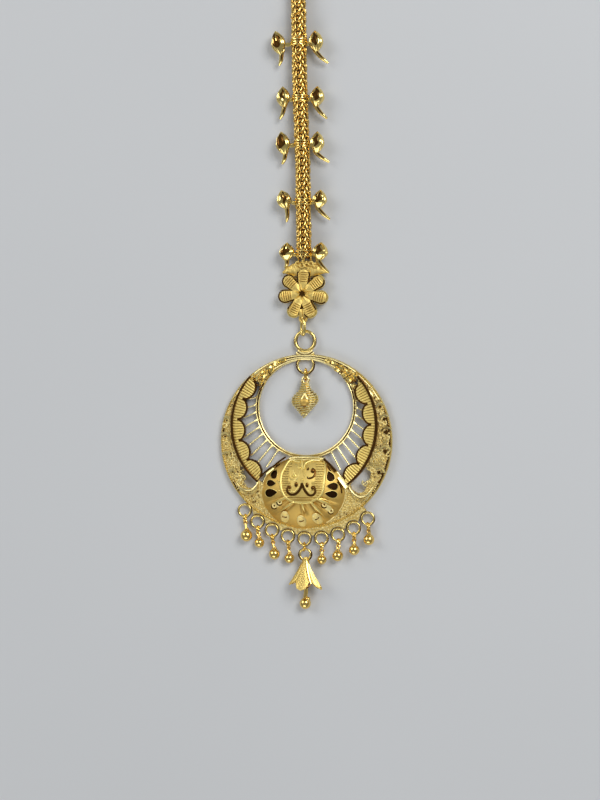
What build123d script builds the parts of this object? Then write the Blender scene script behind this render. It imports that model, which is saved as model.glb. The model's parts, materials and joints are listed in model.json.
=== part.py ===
from build123d import *
import os
from math import asin, cos, hypot, pi, radians, sin, sqrt, tan

os.makedirs("parts", exist_ok=True)

# A maang tikka, the gold jewel that hangs from the hair parting onto the forehead.
# It lies on its back: X runs across it, Y up along its chain, Z away from the table.
# Every length ending in _y is measured up from the centre of the crescent.

# ------------------------------------------------------------ driving dimensions (mm)

clearance = 0.05                # between round pieces and the table

# Crescent: one soldered piece of wall, sloping band, lattice, dome and rings
crescent_radius = 17.4          # outer wall
wall_height = 1.1
band_inset = 0.25               # step from the wall to the foot of the sloping band
ridge_radius = 14.2             # circle of the two arch wires, the crest of the band
ridge_y = 2.9
ridge_height = 2.2              # crest above the table, at the middle of its circle
ridge_tilt = 2.4                # degrees, the crest is lower towards the horns
arch_wire = 0.56
arch_start = 45                 # degrees from the top, where an arch wire begins
arch_end = 132                  # and where it runs into the dome
opening_radius = 9.6            # the round opening in which the centre drop hangs
opening_y = 6.7
rim_width = 0.5
rim_height = 0.95
lattice_radius = 12.2           # inner edge of the scalloped sheet, round the ridge centre
bar_count = 9                   # radial bars on each side
bar_first = -11.0               # degrees below level for the first bar, as seen on the right
bar_pitch = 8.5
bar_width = 0.45
bar_height = 0.5
side_hole_radius = 1.5          # window between the arch tip and the lower band
side_hole_x = 11.2
side_hole_y = -7.3

# Domed medallion
dome_y = -10.3
dome_half_width = 8.1
dome_half_height = 7.0
dome_base = 1.0
dome_top = 4.2

# Rings soldered to the crescent
top_ring_diameter = 4.5
top_ring_wire = 0.64
top_ring_y = 19.9
top_ring_height = 0.9
saddle_width = 3.7
saddle_length = 1.5
saddle_height = 1.3
inner_ring_diameter = 3.54
inner_ring_wire = 0.4
inner_ring_y = 15.2
ring_height = 0.75              # middle of the flat rings' wire above the table
drop_ring_count = 9
drop_ring_diameter = 2.9
drop_ring_wire = 0.38
drop_arc_radius = 18.44         # the rings sit on this arc, a little askew
drop_arc_x = 0.74
drop_arc_y = -1.1
drop_pitch = 10.65              # degrees between rings
skew = -3.2                     # degrees, how far the row of rings is turned
skirt_thickness = 0.5           # scalloped strip that carries the rings
skirt_overlap = 0.6
skirt_margin = 0.2              # how far the strip runs past the end rings, in ring pitches

# Small drops: where each ball lies beside its ring, and its radius
ball_offset_x = [0.48, 0.46, 0.56, 0.36, 0.10, -0.02, 0.14, 0.26]
ball_offset_y = [-5.00, -4.22, -4.72, -4.42, -4.22, -4.16, -4.34, -4.18]
ball_radius = [1.20, 1.00, 1.10, 1.00, 0.95, 1.10, 1.06, 1.10]
link_radius = 0.74              # middle of the wire
link_wire = 0.32
link_height = 0.95
link_reach = 0.30               # link's centre beyond the ring's wire
loop_radius = 0.60
loop_wire = 0.30
loop_height = 1.0
loop_reach = 0.32               # loop's wire beyond the link's centre
neck_radius = 0.28

# Bell drop on the middle ring
bell_link_radius = 0.85
bell_link_height = 1.1
bell_ring_radius = 1.15
bell_ring_wire = 0.34
bell_ring_height = 1.35
bell_reach = 0.34               # bell ring's wire beyond its link's centre
bell_length = 5.9
bell_axis_height = 2.05
bell_neck = (0.55, 0.60)        # half width and half height of the bell at its top
bell_waist = (1.50, 1.20)
bell_mouth = (3.35, 1.95)
bell_wall = 0.35
bell_petals = 5
bell_notch = 1.9                # how deep the mouth is cut between petals
clapper_radius = 1.14
clapper_stem = 0.30
clapper_drop = 2.65             # ball's centre below the mouth

# Centre drop: a flattened spindle with a small stud on its face
drop_loop_radius = 0.62
drop_loop_wire = 0.34
drop_loop_y = 12.2
drop_height = 1.3
drop_axis_height = 1.65
drop_top_y = 11.6
drop_belly_y = 8.0
drop_tip_y = 4.7
drop_top_section = (0.80, 0.60)
drop_belly_section = (2.80, 1.60)
drop_tip_section = (0.15, 0.12)
stud_side = 1.25
stud_height = 0.35
stud_taper = 32                 # degrees
centre_link_y = 13.25
centre_link_length = 1.35       # half its outer length
centre_link_radius = 0.80
centre_link_wire = 0.40
centre_link_height = 1.02

# Flower and the flared cap that closes the chain
flower_x = -0.40
flower_y = 29.4
flower_base = 1.0
petal_count = 7
petal_turn = 87.6               # degrees, direction of the top petal
petal_reach = 5.1               # from the flower's centre to a petal's tip
petal_inner = 0.8
petal_width = 2.35
petal_height = 1.9
petal_wall = 0.30
petal_dish = 0.8
hub_radius = 1.7
hub_height = 1.2
hub_hole = 0.6
cap_top_y = 36.2
cap_foot_y = 33.0
cap_top_section = (1.95, 1.50)
cap_foot_section = (4.40, 0.75)
eye_y = 24.4
eye_radius = 0.75
eye_wire = 0.44
eye_height = 1.5
eye_stalk = 0.5
flower_link_y = 22.6
flower_link_length = 1.90       # half its outer length
flower_link_radius = 1.05
flower_link_wire = 0.46
flower_link_lean = 22           # degrees from upright
flower_link_height = 1.27

# Chain: a thick woven chain, as one tube along its route, and its end loop
chain_radius = 1.55
chain_y = [36.3, 55.0, 74.0, 97.2]
chain_x = [-0.20, -0.45, -1.15, -1.50]
bend_share = 0.45               # part of the shorter run that a bend takes
end_loop_radius = 1.2
end_loop_wire = 0.6

# Leaf pairs clasped round the chain, and how far each leaf leans
leaf_y = [79.4, 68.2, 59.2, 47.6, 37.3]
left_lean = [14, 3, 9, 12, -6]
right_lean = [20, 10, 8, 6, 4]
collar_gap = 0.06
collar_wall = 0.20
collar_length = 1.4
leaf_reach = 3.65               # from the chain's axis to the leaf's axis
leaf_height = 1.5               # underside of the blade
leaf_outline = [(0.0, 2.4), (0.9, 1.08), (1.3, -0.24), (0.9, -1.65), (0.0, -2.2)]  # half width, up
leaf_thickness = 1.3
leaf_taper = 32                 # degrees
stem_lift = 0.45                # arm's and tail's axis above the blade's underside
arm_radius = 0.35
tail_end_left = (0.2, -4.1)     # from the leaf's middle, outwards and up
tail_end_right = (1.3, -3.9)
tail_root = -1.54
tail_radius = 0.32
tail_end_radius = 0.19

# Plain hair hook and its ring
hook_wire = 1.1
hook_eye_height = 1.6
hook_ring_radius = 2.0
hook_ring_wire = 0.6
hook_ring_lean = 25             # degrees from upright
eye_ring_radius = 1.3
shank_length = 8.0
bend_radius = 2.1
tip_length = 6.5
eye_seat = 0.88                 # how far the eye's wire reaches into the ring's

# ------------------------------------------------------------ stations along the jewel

drop_first = -(drop_ring_count - 1) / 2
middle_ring = drop_ring_count // 2


def ring_station(number):
    """Centre of a bottom ring, counted from the left."""
    turn = radians(-90 + skew + (drop_first + number) * drop_pitch)
    return (drop_arc_x + drop_arc_radius * cos(turn), drop_arc_y + drop_arc_radius * sin(turn))


ring_reach = drop_ring_diameter / 2 - drop_ring_wire / 2
bell_x, middle_ring_y = ring_station(middle_ring)
bell_link_y = middle_ring_y - ring_reach - link_reach
bell_ring_y = bell_link_y - bell_reach - bell_ring_radius
bell_top_y = bell_ring_y - bell_ring_radius - bell_ring_wire / 4
bell_mouth_y = bell_top_y - bell_length
clapper_y = bell_mouth_y - clapper_drop

end_loop_y = chain_y[-1] + end_loop_radius - end_loop_wire / 4
hook_ring_y = end_loop_y + end_loop_radius + hook_ring_radius - end_loop_wire / 2 - hook_ring_wire
hook_eye_y = hook_ring_y + hook_ring_radius - hook_ring_wire + eye_ring_radius - eye_seat
shank_top_y = hook_eye_y + eye_ring_radius + shank_length
top_y = shank_top_y + bend_radius + hook_wire / 2
bottom_y = clapper_y - clapper_radius
lift = -(top_y + bottom_y) / 2  # puts the origin midway along the jewel


def spot(x, y, z):
    """A point given from the crescent's centre, in the jewel's own frame."""
    return (x, y + lift, z)


def flat_at(x, y, z):
    """A plane parallel to the table."""
    return Plane(origin=spot(x, y, z), x_dir=(1, 0, 0), z_dir=(0, 0, 1))


def across_at(x, y, z):
    """A plane across the jewel's length, its normal pointing down the jewel."""
    return Plane(origin=spot(x, y, z), x_dir=(1, 0, 0), z_dir=(0, -1, 0))


def upright_at(x, y, z, turn, lean):
    """A plane that stands on the table along a direction, leaning sideways."""
    along = Vector(cos(radians(turn)), sin(radians(turn)), 0)
    side = Vector(-along.Y, along.X, 0)
    up = side * sin(radians(lean)) + Vector(0, 0, cos(radians(lean)))
    return Plane(origin=spot(x, y, z), x_dir=along, z_dir=along.cross(up))


def oval_link(plane, half_length, radius, wire):
    """A jump ring drawn out into an oval, its long way along the plane's X."""
    straight = half_length - wire / 2 - radius
    with BuildPart() as link:
        with BuildLine(plane) as path:
            CenterArc((straight, 0), radius, -90, 180)
            Line((straight, radius), (-straight, radius))
            CenterArc((-straight, 0), radius, 90, 180)
            Line((-straight, -radius), (straight, -radius))
        with BuildSketch(Plane(origin=path.line @ 0, z_dir=path.line % 0)):
            Circle(wire / 2)
        sweep(path=path.wire())
    return link.part


def save(part, name):
    """Label a finished piece and write it."""
    part.label = name
    export_step(part, f"parts/{name}.step")


# ------------------------------------------------------------ crescent

ridge_up = Vector(0, sin(radians(ridge_tilt)), cos(radians(ridge_tilt)))
ridge_plane = Plane(origin=spot(0, ridge_y, ridge_height), x_dir=(1, 0, 0), z_dir=ridge_up)
crest_radius = ridge_radius - arch_wire / 4
rim_radius = opening_radius + rim_width
overshoot = 1.2                 # the dish cutter runs on past the crest by a fifth
over_y = opening_y + overshoot * (ridge_y - opening_y)
over_height = rim_height + overshoot * (ridge_height - rim_height)
over_radius = rim_radius + overshoot * (crest_radius - rim_radius)
over_plane = Plane(origin=spot(0, over_y, over_height), x_dir=(1, 0, 0), z_dir=ridge_up)

# The dome: an arc over the medallion's width, turned about an axis below the table
dome_rise = dome_top - dome_base
dome_turn_radius = (dome_half_height**2 + dome_rise**2) / (2 * dome_rise)
dome_arc_radius = (dome_half_width**2 + dome_rise**2) / (2 * dome_rise)
dome_axis_height = dome_top - dome_turn_radius
dome_arc_drop = dome_arc_radius - dome_turn_radius
dome_end = sqrt(dome_arc_radius**2 - dome_arc_drop**2)

with BuildPart() as dome:
    with BuildSketch(Plane(origin=spot(0, dome_y, 0), x_dir=(1, 0, 0), z_dir=(0, -1, 0))):
        with BuildLine():
            ThreePointArc((-dome_end, dome_axis_height), (0, dome_top), (dome_end, dome_axis_height))
            Line((dome_end, dome_axis_height), (-dome_end, dome_axis_height))
        make_face()
    revolve(axis=Axis(spot(0, dome_y, dome_axis_height), (1, 0, 0)))
    split(bisect_by=Plane.XY.offset(dome_base - band_inset), keep=Keep.TOP)


def lattice_reach(turn):
    """Distance from the opening's centre to the lattice's outer edge, in a direction."""
    offset = opening_y - ridge_y
    along = offset * sin(radians(turn))
    return -along + sqrt(along**2 - offset**2 + lattice_radius**2)


with BuildPart() as crescent:
    # Wall, and the band that climbs from it to the ridge
    with BuildSketch(flat_at(0, 0, 0)):
        Circle(crescent_radius)
    extrude(amount=wall_height)
    with BuildSketch(flat_at(0, 0, wall_height)):
        Circle(crescent_radius - band_inset)
    with BuildSketch(ridge_plane):
        Circle(ridge_radius)
    loft()
    # The dish falls from the ridge to the rim of the opening
    with BuildSketch(flat_at(0, opening_y, rim_height)):
        Circle(rim_radius)
    with BuildSketch(over_plane):
        Circle(over_radius)
    loft(mode=Mode.SUBTRACT)
    # Open lattice between the scalloped sheet and the rim, without the medallion's place
    with BuildSketch(flat_at(0, 0, 0)):
        with Locations((0, ridge_y)):
            Circle(lattice_radius)
        with Locations((0, opening_y)):
            Circle(rim_radius, mode=Mode.SUBTRACT)
        with Locations((0, dome_y)):
            Ellipse(dome_half_width, dome_half_height, mode=Mode.SUBTRACT)
    extrude(amount=ridge_height + dome_top, mode=Mode.SUBTRACT)
    with BuildSketch(flat_at(0, 0, 0)):
        with Locations((0, opening_y)):
            Circle(opening_radius)
        with Locations((side_hole_x, side_hole_y), (-side_hole_x, side_hole_y)):
            Circle(side_hole_radius)
    extrude(amount=ridge_height + dome_top, mode=Mode.SUBTRACT)
    # Radial bars across the lattice
    for side in (-1, 1):
        for number in range(bar_count):
            turn = -bar_first - number * bar_pitch
            reach = lattice_reach(turn)
            length = reach - opening_radius
            middle = (reach + opening_radius) / 2
            bar_x = side * middle * cos(radians(turn))
            bar_y = opening_y + middle * sin(radians(turn))
            bar_z = rim_height - bar_height / 2
            with Locations(Location(spot(bar_x, bar_y, bar_z), (0, 0, side * turn))):
                Box(length, bar_width, bar_height)
    # Arch wires along the crest
    for start in (90 - arch_end, 90 + arch_start):
        with BuildLine(ridge_plane):
            arch = CenterArc((0, 0), ridge_radius, start, arch_end - arch_start)
        with BuildSketch(Plane(origin=arch @ 0, z_dir=arch % 0)):
            Circle(arch_wire / 2)
        sweep(path=arch)
    # Scalloped strip for the bottom rings
    with BuildSketch(flat_at(0, 0, ring_height - skirt_thickness / 2)):
        with Locations((drop_arc_x, drop_arc_y)):
            Circle(drop_arc_radius)
        Circle(crescent_radius - skirt_overlap, mode=Mode.SUBTRACT)
        with BuildLine():
            left = ring_station(-skirt_margin)
            right = ring_station(drop_ring_count - 1 + skirt_margin)
            Polyline((0, 0), (2 * left[0], 2 * left[1]), (2 * right[0], 2 * right[1]), close=True)
        make_face(mode=Mode.INTERSECT)
        for number in range(drop_ring_count):
            with Locations(ring_station(number)):
                Circle(ring_reach, mode=Mode.SUBTRACT)
    extrude(amount=skirt_thickness)
    for number in range(drop_ring_count):
        with Locations(spot(*ring_station(number), ring_height)):
            Torus(ring_reach, drop_ring_wire / 2)
    # Top ring on its saddle, and the ring inside the opening
    with Locations(spot(0, crescent_radius + saddle_length / 4, saddle_height / 2)):
        Box(saddle_width, saddle_length, saddle_height)
    with Locations(spot(0, top_ring_y, top_ring_height)):
        Torus(top_ring_diameter / 2 - top_ring_wire / 2, top_ring_wire / 2)
    with Locations(spot(0, inner_ring_y, ring_height)):
        Torus(inner_ring_diameter / 2 - inner_ring_wire / 2, inner_ring_wire / 2)
    add(dome.part)
save(crescent.part, "crescent")

# ------------------------------------------------------------ small drops

small_rings = [number for number in range(drop_ring_count) if number != middle_ring]
for order, number in enumerate(small_rings):
    ring_x, ring_y = ring_station(number)
    run = hypot(ball_offset_x[order], ball_offset_y[order])
    ahead = Vector(ball_offset_x[order] / run, ball_offset_y[order] / run)
    turn = -ahead.get_angle(Vector(1, 0, 0))
    link_run = ring_reach + link_reach
    loop_run = link_run + loop_reach + loop_radius
    neck_length = run - loop_run
    ball_height = ball_radius[order] + clearance

    with BuildPart() as drop_link:
        link_spot = (ring_x + ahead.X * link_run, ring_y + ahead.Y * link_run, link_height)
        with Locations(upright_at(*link_spot, turn, 0)):
            Torus(link_radius, link_wire / 2)
    save(drop_link.part, f"drop_link_{order + 1}")

    with BuildPart() as ball_drop:
        loop_spot = spot(ring_x + ahead.X * loop_run, ring_y + ahead.Y * loop_run, loop_height)
        ball_spot = spot(ring_x + ahead.X * run, ring_y + ahead.Y * run, ball_height)
        with Locations(ball_spot):
            Sphere(ball_radius[order])
        with Locations(loop_spot):
            Torus(loop_radius, loop_wire / 2)
        neck_start = Vector(*loop_spot) + ahead * loop_radius
        with BuildSketch(Plane(origin=neck_start, z_dir=ahead)):
            Circle(neck_radius)
        extrude(amount=neck_length - loop_radius)
    save(ball_drop.part, f"ball_drop_{order + 1}")

# ------------------------------------------------------------ bell drop

with BuildPart() as bell_link:
    with Locations(upright_at(bell_x, bell_link_y, bell_link_height, -90, 0)):
        Torus(bell_link_radius, link_wire / 2)
save(bell_link.part, "bell_link")

bell_waist_y = bell_top_y - bell_length / 2

with BuildPart() as bell_flower:
    with Locations(spot(bell_x, bell_ring_y, bell_ring_height)):
        Torus(bell_ring_radius, bell_ring_wire / 2)
    with BuildSketch(across_at(bell_x, bell_top_y, bell_axis_height)):
        Ellipse(*bell_neck)
    with BuildSketch(across_at(bell_x, bell_waist_y, bell_axis_height)):
        Ellipse(*bell_waist)
    with BuildSketch(across_at(bell_x, bell_mouth_y, bell_axis_height)):
        Ellipse(*bell_mouth)
    loft()
    # Hollow inside, open at the mouth
    with BuildSketch(across_at(bell_x, bell_waist_y + bell_wall, bell_axis_height)):
        Ellipse(bell_waist[0] - 2 * bell_wall, bell_waist[1] - 2 * bell_wall)
    with BuildSketch(across_at(bell_x, bell_mouth_y, bell_axis_height)):
        Ellipse(bell_mouth[0] - bell_wall, bell_mouth[1] - bell_wall)
    loft(mode=Mode.SUBTRACT)
    # The mouth is notched into pointed petals
    for number in range(bell_petals):
        turn = 360 / bell_petals * (number + 0.5) + 90
        notch_plane = Plane(origin=spot(bell_x, bell_mouth_y, bell_axis_height),
                            x_dir=(0, 1, 0),
                            z_dir=(cos(radians(turn)), 0, sin(radians(turn))))
        half = tan(radians(180 / bell_petals)) * bell_mouth[1]
        with BuildSketch(notch_plane):
            with BuildLine():
                Polyline((bell_notch, 0), (-clearance, half), (-clearance, -half), close=True)
            make_face()
        extrude(amount=bell_mouth[0] + bell_wall, mode=Mode.SUBTRACT)
save(bell_flower.part, "bell_flower")

with BuildPart() as bell_clapper:
    ball_height = clapper_radius + clearance
    stem_top = Vector(*spot(bell_x, bell_waist_y, bell_axis_height))
    stem_end = Vector(*spot(bell_x, clapper_y, ball_height))
    with Locations(spot(bell_x, clapper_y, ball_height)):
        Sphere(clapper_radius)
    with BuildSketch(Plane(origin=stem_end, z_dir=stem_top - stem_end)):
        Circle(clapper_stem)
    extrude(amount=(stem_top - stem_end).length)
save(bell_clapper.part, "bell_clapper")

# ------------------------------------------------------------ centre drop

centre_link = oval_link(upright_at(0, centre_link_y, centre_link_height, 90, 0),
                        centre_link_length, centre_link_radius, centre_link_wire)
save(centre_link, "centre_link")


def lozenge(half_width, half_height):
    """A four-cornered section, corners out along its axes."""
    Polygon((half_width, 0), (0, half_height), (-half_width, 0), (0, -half_height))


with BuildPart() as centre_drop:
    with Locations(spot(0, drop_loop_y, drop_height)):
        Torus(drop_loop_radius, drop_loop_wire / 2)
    with BuildSketch(across_at(0, drop_top_y, drop_axis_height)):
        lozenge(*drop_top_section)
    with BuildSketch(across_at(0, drop_belly_y, drop_axis_height)):
        lozenge(*drop_belly_section)
    loft(ruled=True)
    with BuildSketch(across_at(0, drop_belly_y, drop_axis_height)):
        lozenge(*drop_belly_section)
    with BuildSketch(across_at(0, drop_tip_y, drop_axis_height)):
        lozenge(*drop_tip_section)
    loft(ruled=True)
    stud_base = drop_axis_height + drop_belly_section[1] - stud_height
    with BuildSketch(flat_at(0, drop_belly_y, stud_base)):
        Rectangle(stud_side, stud_side, rotation=45)
    extrude(amount=2 * stud_height, taper=stud_taper)
save(centre_drop.part, "centre_drop")

# ------------------------------------------------------------ flower

with BuildPart() as flower:
    petal_middle = (petal_reach + petal_inner) / 2
    petal_half = (petal_reach - petal_inner) / 2
    with BuildSketch(flat_at(flower_x, flower_y, flower_base)):
        with PolarLocations(petal_middle, petal_count, start_angle=petal_turn):
            Ellipse(petal_half, petal_width / 2)
        Circle(hub_radius)
    extrude(amount=petal_height)
    with BuildSketch(flat_at(flower_x, flower_y, flower_base + petal_height)):
        with PolarLocations(petal_middle, petal_count, start_angle=petal_turn):
            Ellipse(petal_half - petal_wall, petal_width / 2 - petal_wall)
    extrude(amount=-petal_dish, mode=Mode.SUBTRACT)
    with BuildSketch(flat_at(flower_x, flower_y, flower_base + hub_height)):
        Circle(hub_radius)
    extrude(amount=petal_height - hub_height, mode=Mode.SUBTRACT)
    with BuildSketch(flat_at(flower_x, flower_y, flower_base)):
        Circle(hub_hole)
    extrude(amount=hub_height, mode=Mode.SUBTRACT)
    # Flared cap behind the top petals, where the chain ends
    with BuildSketch(across_at(chain_x[0], cap_top_y, cap_top_section[1] + 2 * clearance)):
        Ellipse(*cap_top_section)
    with BuildSketch(across_at(flower_x, cap_foot_y, cap_foot_section[1] + 2 * clearance)):
        Ellipse(*cap_foot_section)
    loft()
    # Eye below the flower, on a short stalk
    with Locations(spot(flower_x, eye_y, eye_height)):
        Torus(eye_radius, eye_wire / 2)
    with Locations(spot(flower_x, eye_y + eye_radius + eye_stalk / 2, eye_height)):
        Box(2 * eye_wire, eye_stalk, eye_wire)
save(flower.part, "flower")

link_plane = upright_at(flower_x / 2, flower_link_y, flower_link_height, 90, flower_link_lean)
flower_link = oval_link(link_plane, flower_link_length, flower_link_radius, flower_link_wire)
save(flower_link, "flower_link")

# ------------------------------------------------------------ chain

chain_axis = chain_radius + collar_gap + collar_wall + clearance
route = [Vector(*spot(x, y, chain_axis)) for x, y in zip(chain_x, chain_y)]
bend_radii = []
for before, corner, after in zip(route, route[1:], route[2:]):
    half_turn = radians((corner - before).get_angle(after - corner) / 2)
    shorter = min((corner - before).length, (after - corner).length)
    bend_radii.append(bend_share * shorter / tan(half_turn))

with BuildPart() as chain:
    with BuildLine():
        chain_path = FilletPolyline(*route, radius=bend_radii)
    with BuildSketch(Plane(origin=chain_path @ 0, z_dir=chain_path % 0)):
        Circle(chain_radius)
    sweep(path=chain_path)
    tube_volume = chain.part.volume
    with Locations(spot(chain_x[-1], end_loop_y, chain_axis)):
        Torus(end_loop_radius, end_loop_wire / 2)
save(chain.part, "chain")
section_volume = pi * chain_radius**2 * chain_path.length
print("chain bend radii", [round(radius) for radius in bend_radii])
print("chain tube over section times length", round(tube_volume / section_volume, 4))


def chain_middle(y):
    """The chain's axis at a height along it."""
    for low in range(len(chain_y) - 1):
        if y <= chain_y[low + 1]:
            share = (y - chain_y[low]) / (chain_y[low + 1] - chain_y[low])
            return chain_x[low] + share * (chain_x[low + 1] - chain_x[low])
    return chain_x[-1]


# ------------------------------------------------------------ leaf pairs

collar_inner = chain_radius + collar_gap
collar_outer = collar_inner + collar_wall
left_edge = [(-half, up) for half, up in leaf_outline]
right_edge = [(half, up) for half, up in reversed(leaf_outline[1:-1])]
leaf_half_width = max(half for half, up in leaf_outline)

for order, station in enumerate(leaf_y):
    middle_x = chain_middle(station)
    with BuildPart() as leaf_pair:
        with BuildSketch(across_at(middle_x, station + collar_length / 2, chain_axis)):
            Circle(collar_outer)
            Circle(collar_inner, mode=Mode.SUBTRACT)
        extrude(amount=collar_length)
        for side, lean, tail in ((-1, left_lean[order], tail_end_left),
                                 (1, right_lean[order], tail_end_right)):
            leaf_x = middle_x + side * leaf_reach
            tilt = radians(lean)
            leaf_plane = Plane(origin=spot(leaf_x, station, leaf_height),
                               x_dir=(cos(tilt), sin(tilt), 0),
                               z_dir=(0, 0, 1))
            # Tapering blade, pointed at the top
            with BuildSketch(leaf_plane):
                with BuildLine():
                    Polyline(*left_edge, *right_edge, close=True)
                make_face()
            extrude(amount=leaf_thickness, taper=leaf_taper)
            # Curling tail under it
            root = leaf_plane.from_local_coords(Vector(0, tail_root, stem_lift))
            end = leaf_plane.from_local_coords(Vector(side * tail[0], tail[1], stem_lift))
            with BuildSketch(Plane(origin=root, z_dir=end - root)):
                Circle(tail_radius)
            with BuildSketch(Plane(origin=end, z_dir=end - root)):
                Circle(tail_end_radius)
            loft()
            # Arm from the collar
            arm_start = middle_x + side * (collar_inner + collar_wall / 2)
            arm_length = leaf_reach - leaf_half_width / 2 - collar_inner
            with BuildSketch(Plane(origin=spot(arm_start, station, leaf_height + stem_lift),
                                   z_dir=(side, 0, 0))):
                Circle(arm_radius)
            extrude(amount=arm_length)
    save(leaf_pair.part, f"leaf_pair_{order + 1}")

# ------------------------------------------------------------ hair hook

hook_x = chain_x[-1]
hook_run = eye_ring_radius + shank_length + bend_radius
hook_slope = asin((hook_eye_height - hook_wire / 2 - clearance) / hook_run)

with BuildPart() as hook_ring:
    ring_lift = hook_ring_radius * cos(radians(hook_ring_lean)) + hook_ring_wire / 2 + clearance
    with Locations(upright_at(hook_x, hook_ring_y, ring_lift, 90, hook_ring_lean)):
        Torus(hook_ring_radius, hook_ring_wire / 2)
save(hook_ring.part, "hook_ring")

# The hook slopes from its ring down to the table
hook_plane = Plane(origin=spot(hook_x, hook_eye_y, hook_eye_height),
                   x_dir=(1, 0, 0),
                   z_dir=(0, sin(hook_slope), cos(hook_slope)))

with BuildPart() as hair_hook:
    with Locations(hook_plane):
        Torus(eye_ring_radius, hook_wire / 2)
    with BuildLine(hook_plane) as bent_wire:
        shank = Line((0, eye_ring_radius), (0, eye_ring_radius + shank_length))
        CenterArc((bend_radius, eye_ring_radius + shank_length), bend_radius, 180, -180)
        tip_end = eye_ring_radius + shank_length - tip_length
        Line((2 * bend_radius, eye_ring_radius + shank_length), (2 * bend_radius, tip_end))
    with BuildSketch(Plane(origin=shank @ 0, z_dir=shank % 0)):
        Circle(hook_wire / 2)
    sweep(path=bent_wire.wire())
    with Locations(hook_plane.from_local_coords(Vector(2 * bend_radius, tip_end, 0))):
        Sphere(hook_wire / 2)
save(hair_hook.part, "hair_hook")

print("length", round(top_y - bottom_y, 2), "origin above the crescent's centre", round(-lift, 2))
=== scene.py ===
# %% [markdown]
# # A gold maang tikka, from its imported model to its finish
# A maang tikka is the jewel that hangs from the hair parting onto the forehead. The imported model
# holds its true sizes as plain solids. This lesson builds the worked gold over them: woven chain,
# leaves, flower, crescent with its lattice and dome, drops and bell. Lengths are in millimetres
# from the crescent's centre while a piece is made, and become metres when it is finished.

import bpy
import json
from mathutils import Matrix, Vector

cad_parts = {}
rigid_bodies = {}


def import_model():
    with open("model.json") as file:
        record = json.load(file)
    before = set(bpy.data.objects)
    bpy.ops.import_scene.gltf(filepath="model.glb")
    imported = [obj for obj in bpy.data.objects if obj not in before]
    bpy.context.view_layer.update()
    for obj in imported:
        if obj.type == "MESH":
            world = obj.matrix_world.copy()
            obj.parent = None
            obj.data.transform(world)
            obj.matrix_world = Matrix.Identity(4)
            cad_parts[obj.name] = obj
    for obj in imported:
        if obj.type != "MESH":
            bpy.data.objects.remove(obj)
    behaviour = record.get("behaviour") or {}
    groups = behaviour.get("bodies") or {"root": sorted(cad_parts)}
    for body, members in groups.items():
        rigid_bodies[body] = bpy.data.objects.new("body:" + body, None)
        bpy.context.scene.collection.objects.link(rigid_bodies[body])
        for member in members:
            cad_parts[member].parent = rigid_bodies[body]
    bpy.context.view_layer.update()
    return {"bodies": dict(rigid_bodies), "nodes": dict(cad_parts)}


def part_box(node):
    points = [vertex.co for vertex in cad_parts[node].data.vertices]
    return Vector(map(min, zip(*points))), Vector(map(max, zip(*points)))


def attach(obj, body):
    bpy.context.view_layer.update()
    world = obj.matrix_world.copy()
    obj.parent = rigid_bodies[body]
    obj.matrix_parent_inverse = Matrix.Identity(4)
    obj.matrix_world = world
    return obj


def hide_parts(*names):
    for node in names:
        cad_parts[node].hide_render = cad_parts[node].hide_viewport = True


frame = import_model()

import json
import math
import random

import bmesh
import bpy
from mathutils import Matrix, Vector

body = list(frame["bodies"])[0]

# %% [markdown]
# ## Places
# The top ring's far edge is the highest point of the crescent's node, so the crescent's centre
# follows from it. Every other place is counted from there, as a goldsmith marks a plate from its
# middle.

# %% Units and the crescent's centre
MM = 0.001
TOP_RING_REACH = 22.15
centre_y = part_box("crescent")[1].y / MM - TOP_RING_REACH
TO_FRAME = Matrix.Scale(MM, 4) @ Matrix.Translation((0, centre_y, 0))
print("crescent's centre at", round(centre_y, 2), "mm along the jewel")

# %% [markdown]
# ## Camera and light
# The jewel lies on a pale table and is seen from almost straight above, leaning ten degrees to
# the right. Polished gold is a mirror: what makes it read as gold is what it reflects. So the
# light comes from broad windows at the sides, and the sky overhead, where the camera stands, is
# left dim. Flat polished faces then turn dark brown while matte faces stay bright, as on a real
# bench.

# %% Camera
VIEW_LEAN = math.radians(10)
VIEW_HEIGHT_MM = 160.0
VIEW_DISTANCE_MM = 420.0
VIEW_MIDDLE_MM = (-1.36, 8.18)
SENSOR_MM = 36.0
view_target = Vector((VIEW_MIDDLE_MM[0], VIEW_MIDDLE_MM[1] + centre_y, 0)) * MM
view_side = Vector((math.sin(VIEW_LEAN), 0, math.cos(VIEW_LEAN)))

camera_data = bpy.data.cameras.new("camera")
camera_data.sensor_width = SENSOR_MM
camera_data.lens = SENSOR_MM * VIEW_DISTANCE_MM / VIEW_HEIGHT_MM
camera_data.clip_start = 0.01
camera = bpy.data.objects.new("camera", camera_data)
camera.location = view_target + view_side * VIEW_DISTANCE_MM * MM
camera.rotation_euler = (0, VIEW_LEAN, 0)
bpy.context.scene.collection.objects.link(camera)
bpy.context.scene.camera = camera
bpy.context.scene.view_settings.view_transform = "Standard"
print("lens", round(camera_data.lens, 1), "mm")

# %% [markdown]
# ## Writing materials as sums
# A material's pattern is arithmetic on a position. The class below wraps a socket, so that
# `0.3 + 0.2 * grain` adds the Math nodes by itself and the recipe reads as one line.

# %% Sockets as expressions
class Sum:
    """A shader socket that can be added, multiplied and so on."""

    def __init__(self, tree, socket):
        self.tree = tree
        self.socket = socket

    def math(self, operation, *others):
        values = [self.socket] + [o.socket if isinstance(o, Sum) else o for o in others]
        return node(self.tree, "ShaderNodeMath", {"operation": operation}, dict(enumerate(values)))

    def __add__(self, other):
        return self.math("ADD", other)

    def __sub__(self, other):
        return self.math("SUBTRACT", other)

    def __mul__(self, other):
        return self.math("MULTIPLY", other)

    def __rsub__(self, other):
        return self.math("MULTIPLY", -1.0) + other

    __radd__ = __add__
    __rmul__ = __mul__


print("sockets can be added, subtracted and multiplied")

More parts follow.
